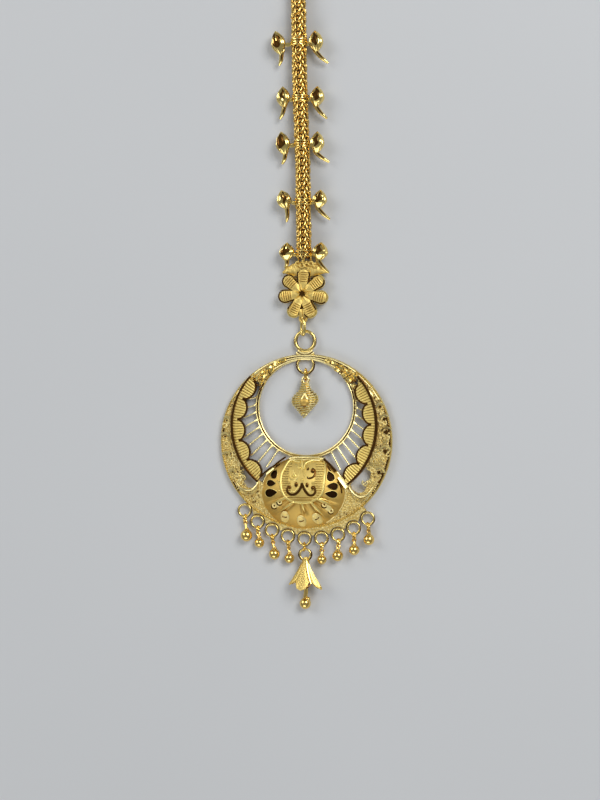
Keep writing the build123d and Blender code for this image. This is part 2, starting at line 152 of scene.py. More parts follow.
# %% Nodes and colours
def node(tree, kind, settings=None, values=None, output=0):
    """Any other node: its settings first, then the values or links of its sockets."""
    made = tree.nodes.new(kind)
    for name, value in (settings or {}).items():
        setattr(made, name, value)
    for name, value in (values or {}).items():
        if isinstance(value, Sum):
            value = value.socket
        if isinstance(value, bpy.types.NodeSocket):
            tree.links.new(value, made.inputs[name])
        else:
            made.inputs[name].default_value = value
    return Sum(tree, made.outputs[output])


def tint(red, green, blue):
    """A linear colour."""
    return (red, green, blue, 1.0)


print("shader helpers ready")

# %% [markdown]
# ## Gold
# The alloy is one yellow 22 karat gold, but a goldsmith finishes each part differently, and the
# finish decides its tone. Wires and balls are polished mirrors. Chased sheet is frosted, from a
# darker matte on the dome to a pale satin on the shield. Cuts and recesses get a near black gold,
# which is painted shade, and so do some flat polished faces, where it is a painted reflection of
# the dark room. A darker deep gold laid in valleys and gaps is painted shade too. One function
# makes them all: a colour that drifts between two tints, a roughness that follows it, and a bump
# of grains a fraction of a millimetre across. It is simpler than a separate network for each
# finish, and keeps them related. A second function adds the crust of grains that covers the
# band, with painted shade in the clefts between the grains.

# %% Patterns
OBJECT_PLACE = 3
MIXED_COLOUR = 2


def noise(tree, place, size_mm, detail):
    """A smooth random pattern whose blotches have a size."""
    values = {"Vector": place, "Scale": 1 / (size_mm * MM), "Detail": detail}
    return node(tree, "ShaderNodeTexNoise", {}, values)


def mixed(tree, share, first, second, **settings):
    """A colour part of the way from a first to a second."""
    settings["data_type"] = "RGBA"
    return node(tree, "ShaderNodeMix", settings, {0: share, 6: first, 7: second}, output=MIXED_COLOUR)


print("patterns ready")

# %% Gold recipe
WEAR_MM = 0.9
ROUGHNESS_SWING = 0.1


def gold(name, light, deep, rough, grain_mm, grain_height):
    """A gold with a colour that drifts slightly, a roughness and a grain."""
    material = bpy.data.materials.new(name)
    material.use_nodes = True
    tree = material.node_tree
    shader = tree.nodes["Principled BSDF"]
    place = node(tree, "ShaderNodeTexCoord", output=OBJECT_PLACE)
    drift = noise(tree, place, WEAR_MM, 3.0)
    grain = noise(tree, place, grain_mm, 2.0)
    colour = mixed(tree, drift, deep, light)
    roughness = rough + (drift - 0.5) * ROUGHNESS_SWING
    bump = node(tree, "ShaderNodeBump", {}, {"Height": grain, "Distance": grain_height * MM, "Strength": 1.0})
    tree.links.new(colour.socket, shader.inputs["Base Color"])
    tree.links.new(roughness.socket, shader.inputs["Roughness"])
    tree.links.new(bump.socket, shader.inputs["Normal"])
    shader.inputs["Metallic"].default_value = 1.0
    return material


print("gold recipe ready")

# %% Finishes of gold
GOLD_LIGHT = tint(0.94, 0.66, 0.18)
GOLD_DEEP = tint(0.83, 0.52, 0.10)
polished = gold("mirror_gold", GOLD_LIGHT, GOLD_DEEP, 0.14, 0.5, 0.01)
frosted = gold("frosted_gold", tint(0.98, 0.81, 0.31), tint(0.91, 0.72, 0.22), 0.53, 0.07, 0.007)
matte = gold("matte_gold", tint(0.78, 0.54, 0.155), tint(0.68, 0.45, 0.11), 0.54, 0.09, 0.008)
satin = gold("satin_gold", tint(0.95, 0.78, 0.30), tint(0.87, 0.68, 0.20), 0.46, 0.10, 0.006)
bright = gold("bright_gold", tint(0.98, 0.78, 0.30), tint(0.90, 0.66, 0.18), 0.24, 0.3, 0.006)
# near black gold: painted shade in cuts, grooves and recesses, and a painted reflection of the dark room on
# flat polished faces
painted_dark = gold("burnished_gold", tint(0.24, 0.11, 0.024), tint(0.13, 0.055, 0.011), 0.24, 0.5, 0.004)
pale = gold("pale_gold", tint(1.0, 0.87, 0.44), tint(0.96, 0.79, 0.33), 0.36, 0.3, 0.006)
petal_gold = gold("petal_gold", tint(0.92, 0.71, 0.24), tint(0.82, 0.60, 0.17), 0.52, 0.09, 0.007)
# a darker gold laid in valleys, between ribs and inside the chain and the drop: painted shade
deep = gold("deep_gold", tint(0.62, 0.37, 0.09), tint(0.45, 0.25, 0.05), 0.22, 0.5, 0.006)
grain_gold = gold("grain_gold", tint(1.0, 0.89, 0.45), tint(1.0, 0.81, 0.32), 0.6, 0.1, 0.003)
ball_gold = gold("ball_gold", tint(1.0, 0.74, 0.24), tint(0.93, 0.62, 0.16), 0.2, 0.8, 0.004)
leaf_gold = gold("leaf_gold", tint(1.0, 0.81, 0.31), tint(0.93, 0.67, 0.19), 0.17, 0.6, 0.02)
# near black gold for the inside of the dome: painted shadow
painted_shadow = gold("shadowed_gold", tint(0.035, 0.016, 0.006), tint(0.02, 0.009, 0.003), 0.5, 0.5, 0.004)
print("gold finishes", [m.name for m in bpy.data.materials])

# %% Granulated gold
BLOTCH_MM = 1.3


def granulated(name, light, deep, pitch_mm, height_mm):
    """A gold crusted with fine grains, pale on their tops and darker in the clefts: painted shade."""
    material = gold(name, light, deep, 0.56, 0.2, 0.0)
    tree = material.node_tree
    shader = tree.nodes["Principled BSDF"]
    place = node(tree, "ShaderNodeTexCoord", output=OBJECT_PLACE)
    cells = node(tree, "ShaderNodeTexVoronoi", {}, {"Vector": place, "Scale": 1 / (pitch_mm * MM)})
    blotch = noise(tree, place, BLOTCH_MM, 3.0)
    # painted shade: the colour darkens towards each grain's edge, in the clefts, with random blotches of tone
    # added
    cleft_shade = cells * 1.5 + (blotch - 0.5) * 1.2
    colour = mixed(tree, cleft_shade, light, deep, clamp_factor=True)
    bump = node(tree, "ShaderNodeBump", {"invert": True},
                {"Height": cells, "Distance": height_mm * MM, "Strength": 1.0})
    tree.links.new(colour.socket, shader.inputs["Base Color"])
    tree.links.new(bump.socket, shader.inputs["Normal"])
    return material


grainy = granulated("granulated_gold", tint(1.0, 0.88, 0.44), tint(0.72, 0.52, 0.16), 0.42, 0.1)
print("crusted finish", grainy.name)

# %% [markdown]
# ## Table and windows
# The table is a matte pale board with a faint mottle. The lamps are area lights, as large as
# windows, so that shadows have soft edges.

# %% Table
TABLE_HALF_MM = 1500.0
board = bmesh.new()
bmesh.ops.create_grid(board, x_segments=1, y_segments=1, size=TABLE_HALF_MM * MM)
table_mesh = bpy.data.meshes.new("table")
board.to_mesh(table_mesh)
board.free()
table = bpy.data.objects.new("table", table_mesh)
bpy.context.scene.collection.objects.link(table)

table_paint = bpy.data.materials.new("table_paint")
table_paint.use_nodes = True
tree = table_paint.node_tree
place = node(tree, "ShaderNodeTexCoord", output=OBJECT_PLACE)
mottle = node(tree, "ShaderNodeTexNoise", {}, {"Vector": place, "Scale": 9.0, "Detail": 4.0})
shade = mixed(tree, mottle, tint(0.61, 0.622, 0.632), tint(0.65, 0.662, 0.672))
paint_shader = tree.nodes["Principled BSDF"]
tree.links.new(shade.socket, paint_shader.inputs["Base Color"])
paint_shader.inputs["Roughness"].default_value = 0.7
paint_shader.inputs["Specular IOR Level"].default_value = 0.2
table_mesh.materials.append(table_paint)
print("table", 2 * TABLE_HALF_MM, "mm wide")

# %% Windows
def lamp(name, azimuth, elevation, distance_mm, size_mm, watts):
    """An area light that faces the jewel from a direction, as degrees round from +X and up."""
    data = bpy.data.lights.new(name, "AREA")
    data.shape = "RECTANGLE"
    data.size, data.size_y = (side * MM for side in size_mm)
    data.energy = watts
    turn, rise = math.radians(azimuth), math.radians(elevation)
    away = Vector((math.cos(turn) * math.cos(rise), math.sin(turn) * math.cos(rise), math.sin(rise)))
    made = bpy.data.objects.new(name, data)
    made.location = view_target + away * distance_mm * MM
    made.rotation_euler = away.to_track_quat("Z", "Y").to_euler()
    bpy.context.scene.collection.objects.link(made)


lamp("window_right", 40, 48, 700, (320, 320), 2.5)
lamp("window_left", 150, 38, 800, (420, 420), 1.7)
lamp("window_low", 262, 35, 900, (600, 350), 1.75)

world = bpy.data.worlds.new("room")
bpy.context.scene.world = world
world.use_nodes = True
background = world.node_tree.nodes["Background"]
background.inputs["Color"].default_value = tint(0.93, 0.96, 1.0)
background.inputs["Strength"].default_value = 0.24

# %% [markdown]
# ## Making and joining parts
# Almost everything on the jewel is drawn wire, small balls and bent sheet. A sheet starts as a
# flat grid that a function bends into place, as sheet metal is bent over a stake. A wire is a
# sheet rolled round a path. Both are welded along their seams, capped, and joined into the piece
# that they are soldered to. A path's frames are carried along it without twist, so a round
# section never pinches.

# %% Sheets
UP = Vector((0, 0, 1))
WELD_MM = 1e-4


def welded(part):
    """Closes a part's seams and open ends."""
    bmesh.ops.remove_doubles(part, verts=part.verts[:], dist=WELD_MM)
    bmesh.ops.holes_fill(part, edges=[e for e in part.edges if e.is_boundary], sides=0)
    return part


def walled(skin, thickness):
    """Gives an open sheet its thickness, once its doubles are merged and it faces one way."""
    bmesh.ops.remove_doubles(skin, verts=skin.verts[:], dist=WELD_MM)
    bmesh.ops.recalc_face_normals(skin, faces=skin.faces[:])
    bmesh.ops.solidify(skin, geom=skin.faces[:], thickness=thickness)
    return skin


def sheet(across, along, surface):
    """A grid bent into a surface: surface(u, v) gives the place for u and v from 0 to 1."""
    part = bmesh.new()
    bmesh.ops.create_grid(part, x_segments=across, y_segments=along, size=1.0)
    for vertex in part.verts:
        vertex.co = surface((vertex.co.x + 1) / 2, (vertex.co.y + 1) / 2)
    return part


print("sheet makers ready")

# %% Prisms
def prism(outline, low, high):
    """A closed prism over an outline of (x, y) places."""
    part = bmesh.new()
    rim = [part.verts.new((x, y, low)) for x, y in outline]
    floor = part.faces.new(rim)
    raised = bmesh.ops.extrude_face_region(part, geom=[floor])["geom"]
    tops = [g for g in raised if isinstance(g, bmesh.types.BMVert)]
    bmesh.ops.translate(part, verts=tops, vec=(0, 0, high - low))
    return part


print("prism maker ready")

# %% Frames along a path
def stations(path, closed):
    """Each point of a path with a sideways and an upward direction square to it."""
    count = len(path)
    ends = range(count)
    before = [path[i - 1] if closed or i else path[0] for i in ends]
    after = [path[(i + 1) % count] if closed or i < count - 1 else path[-1] for i in ends]
    heading = (after[0] - before[0]).normalized()
    start = UP if abs(heading.z) < 0.9 else Vector((1, 0, 0))
    rise = (start - heading * start.dot(heading)).normalized()
    found = []
    for place, back, ahead in zip(path, before, after):
        turned = (ahead - back).normalized()
        rise = heading.rotation_difference(turned) @ rise
        heading = turned
        found.append((place, heading.cross(rise), rise))
    return found


print("path frames ready")

# %% Wires
def wire(path, radius, sides=8, closed=False, swell=None, flat=1.0):
    """A wire along a path. swell(v) scales its radius, and flat its height."""
    frames = stations(path, closed)
    rows = len(frames) if closed else len(frames) - 1

    def surface(u, v):
        place, side, rise = frames[round(v * rows) % len(frames)]
        turn = 2 * math.pi * u
        reach = radius * (swell(v) if swell else 1.0)
        return place + side * math.cos(turn) * reach + rise * math.sin(turn) * reach * flat

    return welded(sheet(sides, rows, surface))


print("wire maker ready")

# %% Ribbons and swells
def strip(path, width, height, closed=False, lean=0.0, swell=None):
    """A flat-topped ribbon along a path, its top edges a little eased. swell(v) scales its width."""
    frames = stations(path, closed)
    rows = len(frames) if closed else len(frames) - 1
    half, ease = width / 2, min(width, height) * 0.16
    corners = [(-half, 0), (-half, height - ease), (ease - half, height),
               (half - ease, height), (half, height - ease), (half, 0)]

    def surface(u, v):
        place, side, rise = frames[round(v * rows) % len(frames)]
        out, up = corners[round(u * len(corners)) % len(corners)]
        out *= swell(v) if swell else 1.0
        return place + side * out + rise * (up + lean * out)

    return welded(sheet(len(corners), rows, surface))


def swelling(least, more, power=1.0):
    """A swell that is least at a wire's two ends and more in its middle."""
    return lambda v: least + more * math.sin(math.pi * v) ** power


def taper(start, change):
    """A swell that changes evenly along a wire."""
    return lambda v: start + change * v


print("ribbon maker ready")

# %% Balls
def ball(radius, fine=2, stretch=(1, 1, 1)):
    """A round grain or ball at the origin."""
    part = bmesh.new()
    bmesh.ops.create_icosphere(part, subdivisions=fine, radius=radius, matrix=Matrix.Diagonal((*stretch, 1)))
    return part


def polished_ball(radius):
    """A larger and smoother ball, its poles on Z."""
    part = bmesh.new()
    bmesh.ops.create_uvsphere(part, u_segments=32, v_segments=20, radius=radius)
    return part


print("ball makers ready")

# %% Arcs, rings and directions
def arc(centre, radius, start, end, height, steps=24, squash=1.0):
    """Points of an arc, by degrees round from +X, at one height."""
    turns = [math.radians(start + (end - start) * i / steps) for i in range(steps + 1)]
    return [Vector((centre[0] + radius * math.cos(t), centre[1] + radius * squash * math.sin(t), height))
            for t in turns]


def ring_path(centre, radius, height, steps=48):
    """Points of a whole circle lying flat."""
    return arc(centre, radius, 0, 360, height, steps)[:-1]


def full_turn(count):
    """Evenly spaced angles round a whole turn, in radians."""
    return [2 * math.pi * i / count for i in range(count)]


def polar(centre, radius, angle, height=0.0):
    """A place by its distance and direction, in degrees, from a centre."""
    turn = math.radians(angle)
    return Vector((centre[0] + radius * math.cos(turn), centre[1] + radius * math.sin(turn), height))


print("arc makers ready")

# %% Rounded lines and places
def smooth_path(points, steps=6):
    """A rounded line through a few points, as a bent wire takes them."""
    knots = [Vector(p) for p in points]
    knots = [knots[0] * 2 - knots[1]] + knots + [knots[-1] * 2 - knots[-2]]
    path = []
    for a, b, c, d in zip(knots, knots[1:], knots[2:], knots[3:]):
        for step in range(steps):
            t = step / steps
            path.append(((b * 2) + (c - a) * t + (a * 2 - b * 5 + c * 4 - d) * t * t
                         + (b * 3 - a - c * 3 + d) * t ** 3) / 2)
    return path + [knots[-2].copy()]


def from_above(path):
    """The (x, y) places under a path."""
    return [(p.x, p.y) for p in path]


def carried(path, spot):
    """A path drawn round the origin, carried to a spot."""
    return [p + spot for p in path]


def at(place, turn=0.0, scale=1.0, tip=0.0, roll=0.0):
    """The matrix that sets a part down: rolled about Y, tipped about X, turned about Z, all in degrees."""
    return (Matrix.Translation(place) @ Matrix.Rotation(math.radians(turn), 4, "Z")
            @ Matrix.Rotation(math.radians(tip), 4, "X") @ Matrix.Rotation(math.radians(roll), 4, "Y")
            @ Matrix.Scale(scale, 4))


print("path makers ready")

# %% Joining
def join(piece, part, *places):
    """Solders copies of a part into a piece, or the part as it is."""
    mesh = bpy.data.meshes.new("part")
    part.to_mesh(mesh)
    part.free()
    for place in places or (Matrix(),):
        mesh.transform(place)
        piece.from_mesh(mesh)
        mesh.transform(place.inverted())
    bpy.data.meshes.remove(mesh)


print("joining ready")

# %% Finishing a piece
def finish(piece, name, material, slot, *nodes, crease=40):
    """Turns a piece into an object in the jewel's frame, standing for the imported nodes."""
    bmesh.ops.remove_doubles(piece, verts=piece.verts[:], dist=WELD_MM)
    bmesh.ops.recalc_face_normals(piece, faces=piece.faces[:])
    mesh = bpy.data.meshes.new(name)
    piece.to_mesh(mesh)
    piece.free()
    mesh.transform(TO_FRAME)
    mesh.materials.append(material)
    mesh.shade_smooth()
    mesh.set_sharp_from_angle(angle=math.radians(crease))
    made = bpy.data.objects.new(name, mesh)
    bpy.context.scene.collection.objects.link(made)
    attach(made, body)
    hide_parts(*nodes)
    triangles = sum(len(p.vertices) - 2 for p in mesh.polygons)
    print(name, triangles, "triangles")
    return made


print("finishing ready")

# %% Cutting openings
def cut_away(made, cutters):
    """Cuts shapes, given as a bmesh, out of a finished object."""
    mesh = bpy.data.meshes.new("cutters")
    bmesh.ops.recalc_face_normals(cutters, faces=cutters.faces[:])
    cutters.to_mesh(mesh)
    cutters.free()
    mesh.transform(TO_FRAME)
    tool = bpy.data.objects.new("cutters", mesh)
    bpy.context.scene.collection.objects.link(tool)
    cut_step = made.modifiers.new("openings", "BOOLEAN")
    cut_step.operation = "DIFFERENCE"
    cut_step.object = tool
    bpy.context.view_layer.update()
    whole = made.data
    made.data = bpy.data.meshes.new_from_object(made.evaluated_get(bpy.context.evaluated_depsgraph_get()))
    made.data.name = made.name
    made.modifiers.clear()
    bpy.data.objects.remove(tool)
    bpy.data.meshes.remove(whole)
    print(made.name, "opened,", len(made.data.polygons), "faces")


print("cutting ready")

# %% Hoops
ORIGIN = Vector((0, 0, 0))


def hoop(spot, radius, thickness, steps, sides=8, flat=1.0):
    """A closed ring of wire lying flat round a spot."""
    path = carried(ring_path((0, 0), radius, 0, steps), spot)
    return wire(path, thickness, sides=sides, closed=True, flat=flat)


def darken_flanks(lines, spot, radius, height, stretches, thickness, swell, steps=30):
    """Lays a thin wire of painted shade beside stretches of a hoop, given from and to in degrees."""
    for start, end in stretches:
        path = carried(arc((0, 0), radius, start, end, height, steps), spot)
        join(lines, wire(path, thickness, sides=6, swell=swell))


print("hoop makers ready")

# %% [markdown]
# ## The crescent's plates
# The crescent is a shallow hollow box: a band plate that widens downwards, and a plate for the
# two horns that closes the ring at the top. Each plate is one sheet whose section is a small
# closed outline, swept round by angle. The two windows beside the dome are then cut through it.

# %% Band and horn plates
BAND_CENTRE = (-0.3, 3.1)
ARCH_RADIUS = 14.6
WALL_RADIUS = 17.15
OPENING_CENTRE = (0.0, 6.7)
RIM_RADIUS = 9.65
BAND_TOP = 1.15


def reach_to(circle, radius, angle):
    """How far a circle lies from the band's centre in a direction."""
    turn = math.radians(angle)
    away = Vector((math.cos(turn), math.sin(turn)))
    gap = Vector(BAND_CENTRE) - Vector(circle)
    middle = away.dot(gap)
    return -middle + math.sqrt(middle ** 2 - gap.dot(gap) + radius ** 2)


def plate(start, end, inner, rows, section):
    """A closed plate from an inner distance to the outer wall, between two directions."""
    def surface(u, v):
        angle = start + (end - start) * v
        near, far = inner(angle), reach_to((0, 0), WALL_RADIUS, angle)
        share, height = section[round(u * len(section)) % len(section)]
        return polar(BAND_CENTRE, near + (far - near) * share, angle, height)
    return welded(sheet(len(section), rows, surface))


band_section = [(0, 0.1), (0, 1.2), (0.06, 1.3), (0.3, BAND_TOP), (0.7, BAND_TOP), (0.95, 1.0),
                (1, 0.85), (1, 0.1)]
horn_section = [(0, 0.1), (0, 0.9), (0.15, 1.1), (0.5, 1.25), (0.85, 1.1), (1, 0.8), (1, 0.1)]
band = bmesh.new()
join(band, plate(134, 405, lambda angle: ARCH_RADIUS - 0.3, 180, band_section))
join(band, plate(43, 137, lambda angle: reach_to(OPENING_CENTRE, RIM_RADIUS + 0.2, angle), 70, horn_section))
band_plate = finish(band, "crescent_band", grainy, "engraved_gold", "crescent")

# %% Windows beside the dome
LEFT_WINDOW = [(-13.4, -4.9), (-13.3, -6.6), (-12.7, -7.7), (-12.75, -8.7), (-11.9, -9.4),
               (-10.9, -9.45), (-9.9, -8.7), (-9.7, -7.6), (-10.9, -6.2), (-12.5, -4.4)]
RIGHT_WINDOW = [(11.8, -5.2), (9.8, -7.6), (8.9, -8.6), (9.2, -9.6), (10.5, -10.4),
                (11.75, -10.0), (12.35, -8.8), (12.95, -7.6), (13.15, -6.0), (12.5, -5.2)]
windows = bmesh.new()
for outline in (LEFT_WINDOW, RIGHT_WINDOW):
    join(windows, prism(outline, -1, 3))
cut_away(band_plate, windows)

# %% [markdown]
# ## Arch wires and scallops
# Inside the band stands a ribbon on edge, cut flat on top, in near black gold that is a painted
# reflection of the dark room, so it reads as a brown line. Five scallops hang from it on each
# side: half-round plates, fluted by a roller, each edged by its own ribbon of that near black gold,
# a painted reflection too. The flutes are part of the sheet, so they catch the light as real
# corrugation does, and a thin darker line in each valley is painted shade. A strip behind the
# arch carries the plates, as the solder seam does.

# %% Arch wires
ARCH_FOOT = 1.0
arches = bmesh.new()
for start, end, width in ((137.5, 230.5, 0.52), (42, -52.5, 0.6)):
    line = arc(BAND_CENTRE, ARCH_RADIUS, start, end, ARCH_FOOT, steps=70)
    join(arches, strip(line, width, 1.2, swell=swelling(0.62, 0.38, 0.7)))
# painted reflection: the arches' near black gold stands for the dark room they mirror
finish(arches, "crescent_arches", painted_dark, "polished_gold", "crescent")

# %% One scallop
SCALLOP_OUTER = ARCH_RADIUS - 0.1
SCALLOP_ROOT = 0.95
SCALLOP_DEPTH = 1.55
SCALLOP_FLOOR = 1.0
SCALLOP_TOP = 1.72
FLUTES = 8
FLUTE_HEIGHT = 0.1


def scallop_reach(share):
    """How far in from the arch a scallop's edge is, along its span from 0 to 1."""
    return SCALLOP_ROOT + SCALLOP_DEPTH * max(0.0, 1 - abs(2 * share - 1) ** 2.1) ** 0.6


def scallop(start, end):
    """One fluted half-round plate."""
    tops = [0.0, 0.2, 0.4, 0.6, 0.8, 1.0]
    across = [(s, True) for s in tops] + [(1.0, False), (0.0, False)]

    def surface(u, v):
        share, upper = across[round(u * len(across)) % len(across)]
        angle = start + (end - start) * v
        flute = FLUTE_HEIGHT * math.cos(2 * math.pi * FLUTES * v) * min(1.0, 4 * (1 - share) + 0.1)
        height = SCALLOP_TOP + flute if upper else SCALLOP_FLOOR
        return polar(BAND_CENTRE, SCALLOP_OUTER - scallop_reach(v) * share, angle, height)
    return welded(sheet(len(across), FLUTES * 6, surface))


print("a scallop has", FLUTES, "flutes")

# %% A scallop's edge and valleys
EDGE_WIDTH = 0.36
EDGE_HEIGHT = 0.82
EDGE_STEPS = 30


def scallop_edge(start, end):
    """The near black ribbon round a scallop, a painted reflection, its points closer together towards its two
    ends.
    """
    line = []
    for step in range(EDGE_STEPS + 1):
        share = 0.5 - 0.5 * math.cos(math.pi * step / EDGE_STEPS)
        reach = SCALLOP_OUTER - scallop_reach(share)
        line.append(polar(BAND_CENTRE, reach, start + (end - start) * share, SCALLOP_FLOOR))
    return strip(line, EDGE_WIDTH, EDGE_HEIGHT)


def flute_shade_line(start, end, flute):
    """The darker line of painted shade in one of a scallop's valleys."""
    share = (flute + 0.5) / FLUTES
    near = ARCH_RADIUS - 0.3
    far = ARCH_RADIUS - 0.25 - scallop_reach(share)
    direction = start + (end - start) * share
    line = [polar(BAND_CENTRE, near + (far - near) * i / 4, direction, SCALLOP_TOP - 0.13) for i in range(5)]
    return strip(line, 0.1, 0.09)


print("its edge is", EDGE_WIDTH, "mm wide")

# %% Five scallops a side
LEFT_NOTCHES = [138.6 + 18.1 * k for k in range(6)]
RIGHT_NOTCHES = [36.6 - 17.8 * k for k in range(6)]
scallops = bmesh.new()
scallop_edges = bmesh.new()
flute_shade_lines = bmesh.new()
for notches in (LEFT_NOTCHES, RIGHT_NOTCHES):
    seam = arc(BAND_CENTRE, ARCH_RADIUS - 0.62, notches[0], notches[-1], SCALLOP_FLOOR, 60)
    join(scallops, strip(seam, 0.8, 0.66))
    for start, end in zip(notches, notches[1:]):
        join(scallops, scallop(start, end))
        join(scallop_edges, scallop_edge(start, end))
        for flute in range(FLUTES):
            join(flute_shade_lines, flute_shade_line(start, end, flute))
finish(scallops, "crescent_scallops", frosted, "chased_gold", "crescent", crease=60)
# painted shade in the valleys, and painted reflection on the scallops' near black edges
finish(flute_shade_lines, "crescent_flute_lines", deep, "chased_gold", "crescent")
finish(scallop_edges, "crescent_scallop_edges", painted_dark, "polished_gold", "crescent")

# %% [markdown]
# ## Opening rim and lattice
# Two wires run round the moon-shaped opening. The groove between them is painted shade: near
# black strips in stretches of different width, cut into dashes on the right. Nine thin rods a side
# cross from the rim to the scallops. The upper rods are plain and the lower ones are beaded wire,
# which a goldsmith rolls between two boards. A rod is a wire that flares where it meets the rim,
# and its beads are copies of one small ball set along it.

# %% Opening rim
RIM_TOP = 1.0
RIM_FLOOR = 0.3
GROOVE_REACH = RIM_RADIUS + 0.25
GROOVE_FOOT = 0.35
# stretches of groove: from and to in degrees, and width
GROOVES = [(150, 200, 0.42), (200, 212, 0.3), (60, 120, 0.2), (212, 236, 0.16), (-40, -8, 0.16)]
rim = bmesh.new()
join(rim, wire(ring_path(OPENING_CENTRE, RIM_RADIUS - 0.03, RIM_TOP - 0.2, 160), 0.15, closed=True))
join(rim, wire(ring_path(OPENING_CENTRE, RIM_RADIUS + 0.44, RIM_TOP - 0.05, 160), 0.13, closed=True))
finish(rim, "crescent_rim", pale, "polished_gold", "crescent")
groove = bmesh.new()
for start, end, width in GROOVES:
    join(groove, strip(arc(OPENING_CENTRE, GROOVE_REACH, start, end, GROOVE_FOOT, 60), width, 0.6))
for start in range(-38, 28, 6):
    join(groove, strip(arc(OPENING_CENTRE, GROOVE_REACH, start, start + 3.6, GROOVE_FOOT, 6), 0.36, 0.66))
# painted shade: near black strips in the groove between the two rim wires
finish(groove, "crescent_rim_groove", painted_dark, "polished_gold", "crescent")
rim_floor = strip(ring_path(OPENING_CENTRE, RIM_RADIUS + 0.22, RIM_FLOOR, 160), 0.4, 0.4, closed=True)
finish(rim_floor, "crescent_rim_floor", matte, "polished_gold", "crescent")

# %% Lattice rods
RODS = 9
PLAIN_RODS = 4
ROD_RADIUS = 0.15
BEAD_RADIUS = 0.22
BEAD_PITCH = 0.44
HEAD_START, HEAD_STEP = 168.4, 8.55
FOOT_START, FOOT_STEP = 154.5, 9.15


def flared(v):
    """A rod's swell: twice as thick at the rim, plain after a seventh of its length."""
    return 1.0 + 1.1 * max(0.0, 1 - v * 7)


lattice = bmesh.new()
beads = []
for side, lag in ((1, 0.0), (-1, 3.0)):
    for k in range(RODS):
        head = polar(OPENING_CENTRE, RIM_RADIUS + 0.45, HEAD_START + HEAD_STEP * k + lag, 1.05)
        foot = polar(BAND_CENTRE, 12.35 if k < RODS - 1 else 11.3, FOOT_START + FOOT_STEP * k + lag, 1.25)
        if side < 0:
            head.x = -head.x
            foot.x = -foot.x - 0.5
        join(lattice, wire([head.lerp(foot, i / 12) for i in range(13)], ROD_RADIUS, swell=flared))
        span = (foot - head).length
        if k >= PLAIN_RODS:
            for step in range(int(span * 0.4 / BEAD_PITCH), int(span * 0.98 / BEAD_PITCH)):
                beads.append(at(head.lerp(foot, step * BEAD_PITCH / span)))
join(lattice, ball(BEAD_RADIUS, fine=1), *beads)
finish(lattice, "crescent_lattice", pale, "polished_gold", "crescent")

# %% [markdown]
# ## Outer band
# The band between the arches and the wall is filled with filigree: fish-scale arches round small
# near black diamonds, a painted reflection of the dark room, clusters of ribbed wire, and a
# scatter of granules, curls and near black specks, which are painted shade between the grains.
# Real granulation has thousands of grains, so each is a very plain ball, and a test of places keeps
# them off the arch and the windows. A beaded wire closes the edge, with a near black groove of
# painted shade beside it in places.

# %% Wall
EDGE_BEADS = 236
wall = bmesh.new()
join(wall, wire(ring_path((0, 0), WALL_RADIUS + 0.03, 0.72, 200), 0.2, closed=True, flat=2.0))
edge_beads = [at(p) for p in ring_path((0, 0), WALL_RADIUS - 0.02, 1.02, EDGE_BEADS)]
join(wall, ball(0.2, fine=1), *edge_beads)
finish(wall, "crescent_wall", bright, "polished_gold", "crescent")
wall_line = bmesh.new()
for start, end in ((22, -38), (208, 216), (171, 176)):
    join(wall_line, strip(arc((0, 0), WALL_RADIUS - 0.3, start, end, 0.9, steps=40), 0.26, 0.3))
# painted shade: near black strips along the wall's inner side
finish(wall_line, "crescent_wall_groove", painted_dark, "polished_gold", "crescent")

# %% Fish scales and diamonds
# direction of each diamond from the crescent's centre, its half width and its distance out
RIGHT_DIAMONDS = [(24.5, 0.30, 16.45), (15.5, 0.42, 16.4), (6.4, 0.58, 16.3), (-7.0, 0.50, 16.1),
                  (-22.6, 0.46, 16.0)]
LEFT_DIAMONDS = [(165.5, 0.17, 16.5), (177.0, 0.2, 16.4), (190.0, 0.16, 16.3), (203.0, 0.18, 16.1)]
DIAMOND_HEIGHT = 1.2
diamonds = bmesh.new()
scales = bmesh.new()
for row, side in ((RIGHT_DIAMONDS, 1), (LEFT_DIAMONDS, -1)):
    for direction, half, reach in row:
        spot = polar((0, 0), reach, direction, DIAMOND_HEIGHT)
        diamond = bmesh.new()
        bmesh.ops.create_cone(diamond, cap_ends=True, segments=4, radius1=half * 1.15, radius2=half * 0.95,
                              depth=0.5)
        join(diamonds, diamond, at(spot, turn=direction))
        facing = direction + 90 * side
        for widen in (0.36, 0.62):
            bow_radius = min(half + widen, WALL_RADIUS + 0.1 - reach)
            bow = arc((0, 0), bow_radius, facing - 75, facing + 75, 0, steps=14)
            join(scales, wire(bow, 0.15, sides=6, flat=0.7), at(spot + Vector((0, 0, 0.16))))
# painted reflection: the diamonds' near black gold
finish(diamonds, "crescent_diamonds", painted_dark, "polished_gold", "crescent")
finish(scales, "crescent_fish_scales", pale, "chased_gold", "crescent")

# %% Where the dome and the band lie
DOME_CENTRE = (-0.5, -10.3)
DOME_HALF = (8.6, 7.2)
DOME_BASE, DOME_RISE = 0.9, 3.1


def dome_share(x, y):
    """How far out on the dome a place is: 0 in its middle, 1 at its edge."""
    return ((x - DOME_CENTRE[0]) / DOME_HALF[0]) ** 2 + ((y - DOME_CENTRE[1]) / DOME_HALF[1]) ** 2


def on_dome(x, y, lift=0.0):
    """The place on the dome's surface over (x, y)."""
    return Vector((x, y, DOME_BASE + DOME_RISE * max(0.0, 1 - dome_share(x, y)) ** 0.85 + lift))


def inside(outline, x, y):
    """Whether a place is within a convex outline that turns left."""
    sides = zip(outline, outline[1:] + outline[:1])
    return all((bx - ax) * (y - ay) > (by - ay) * (x - ax) for (ax, ay), (bx, by) in sides)


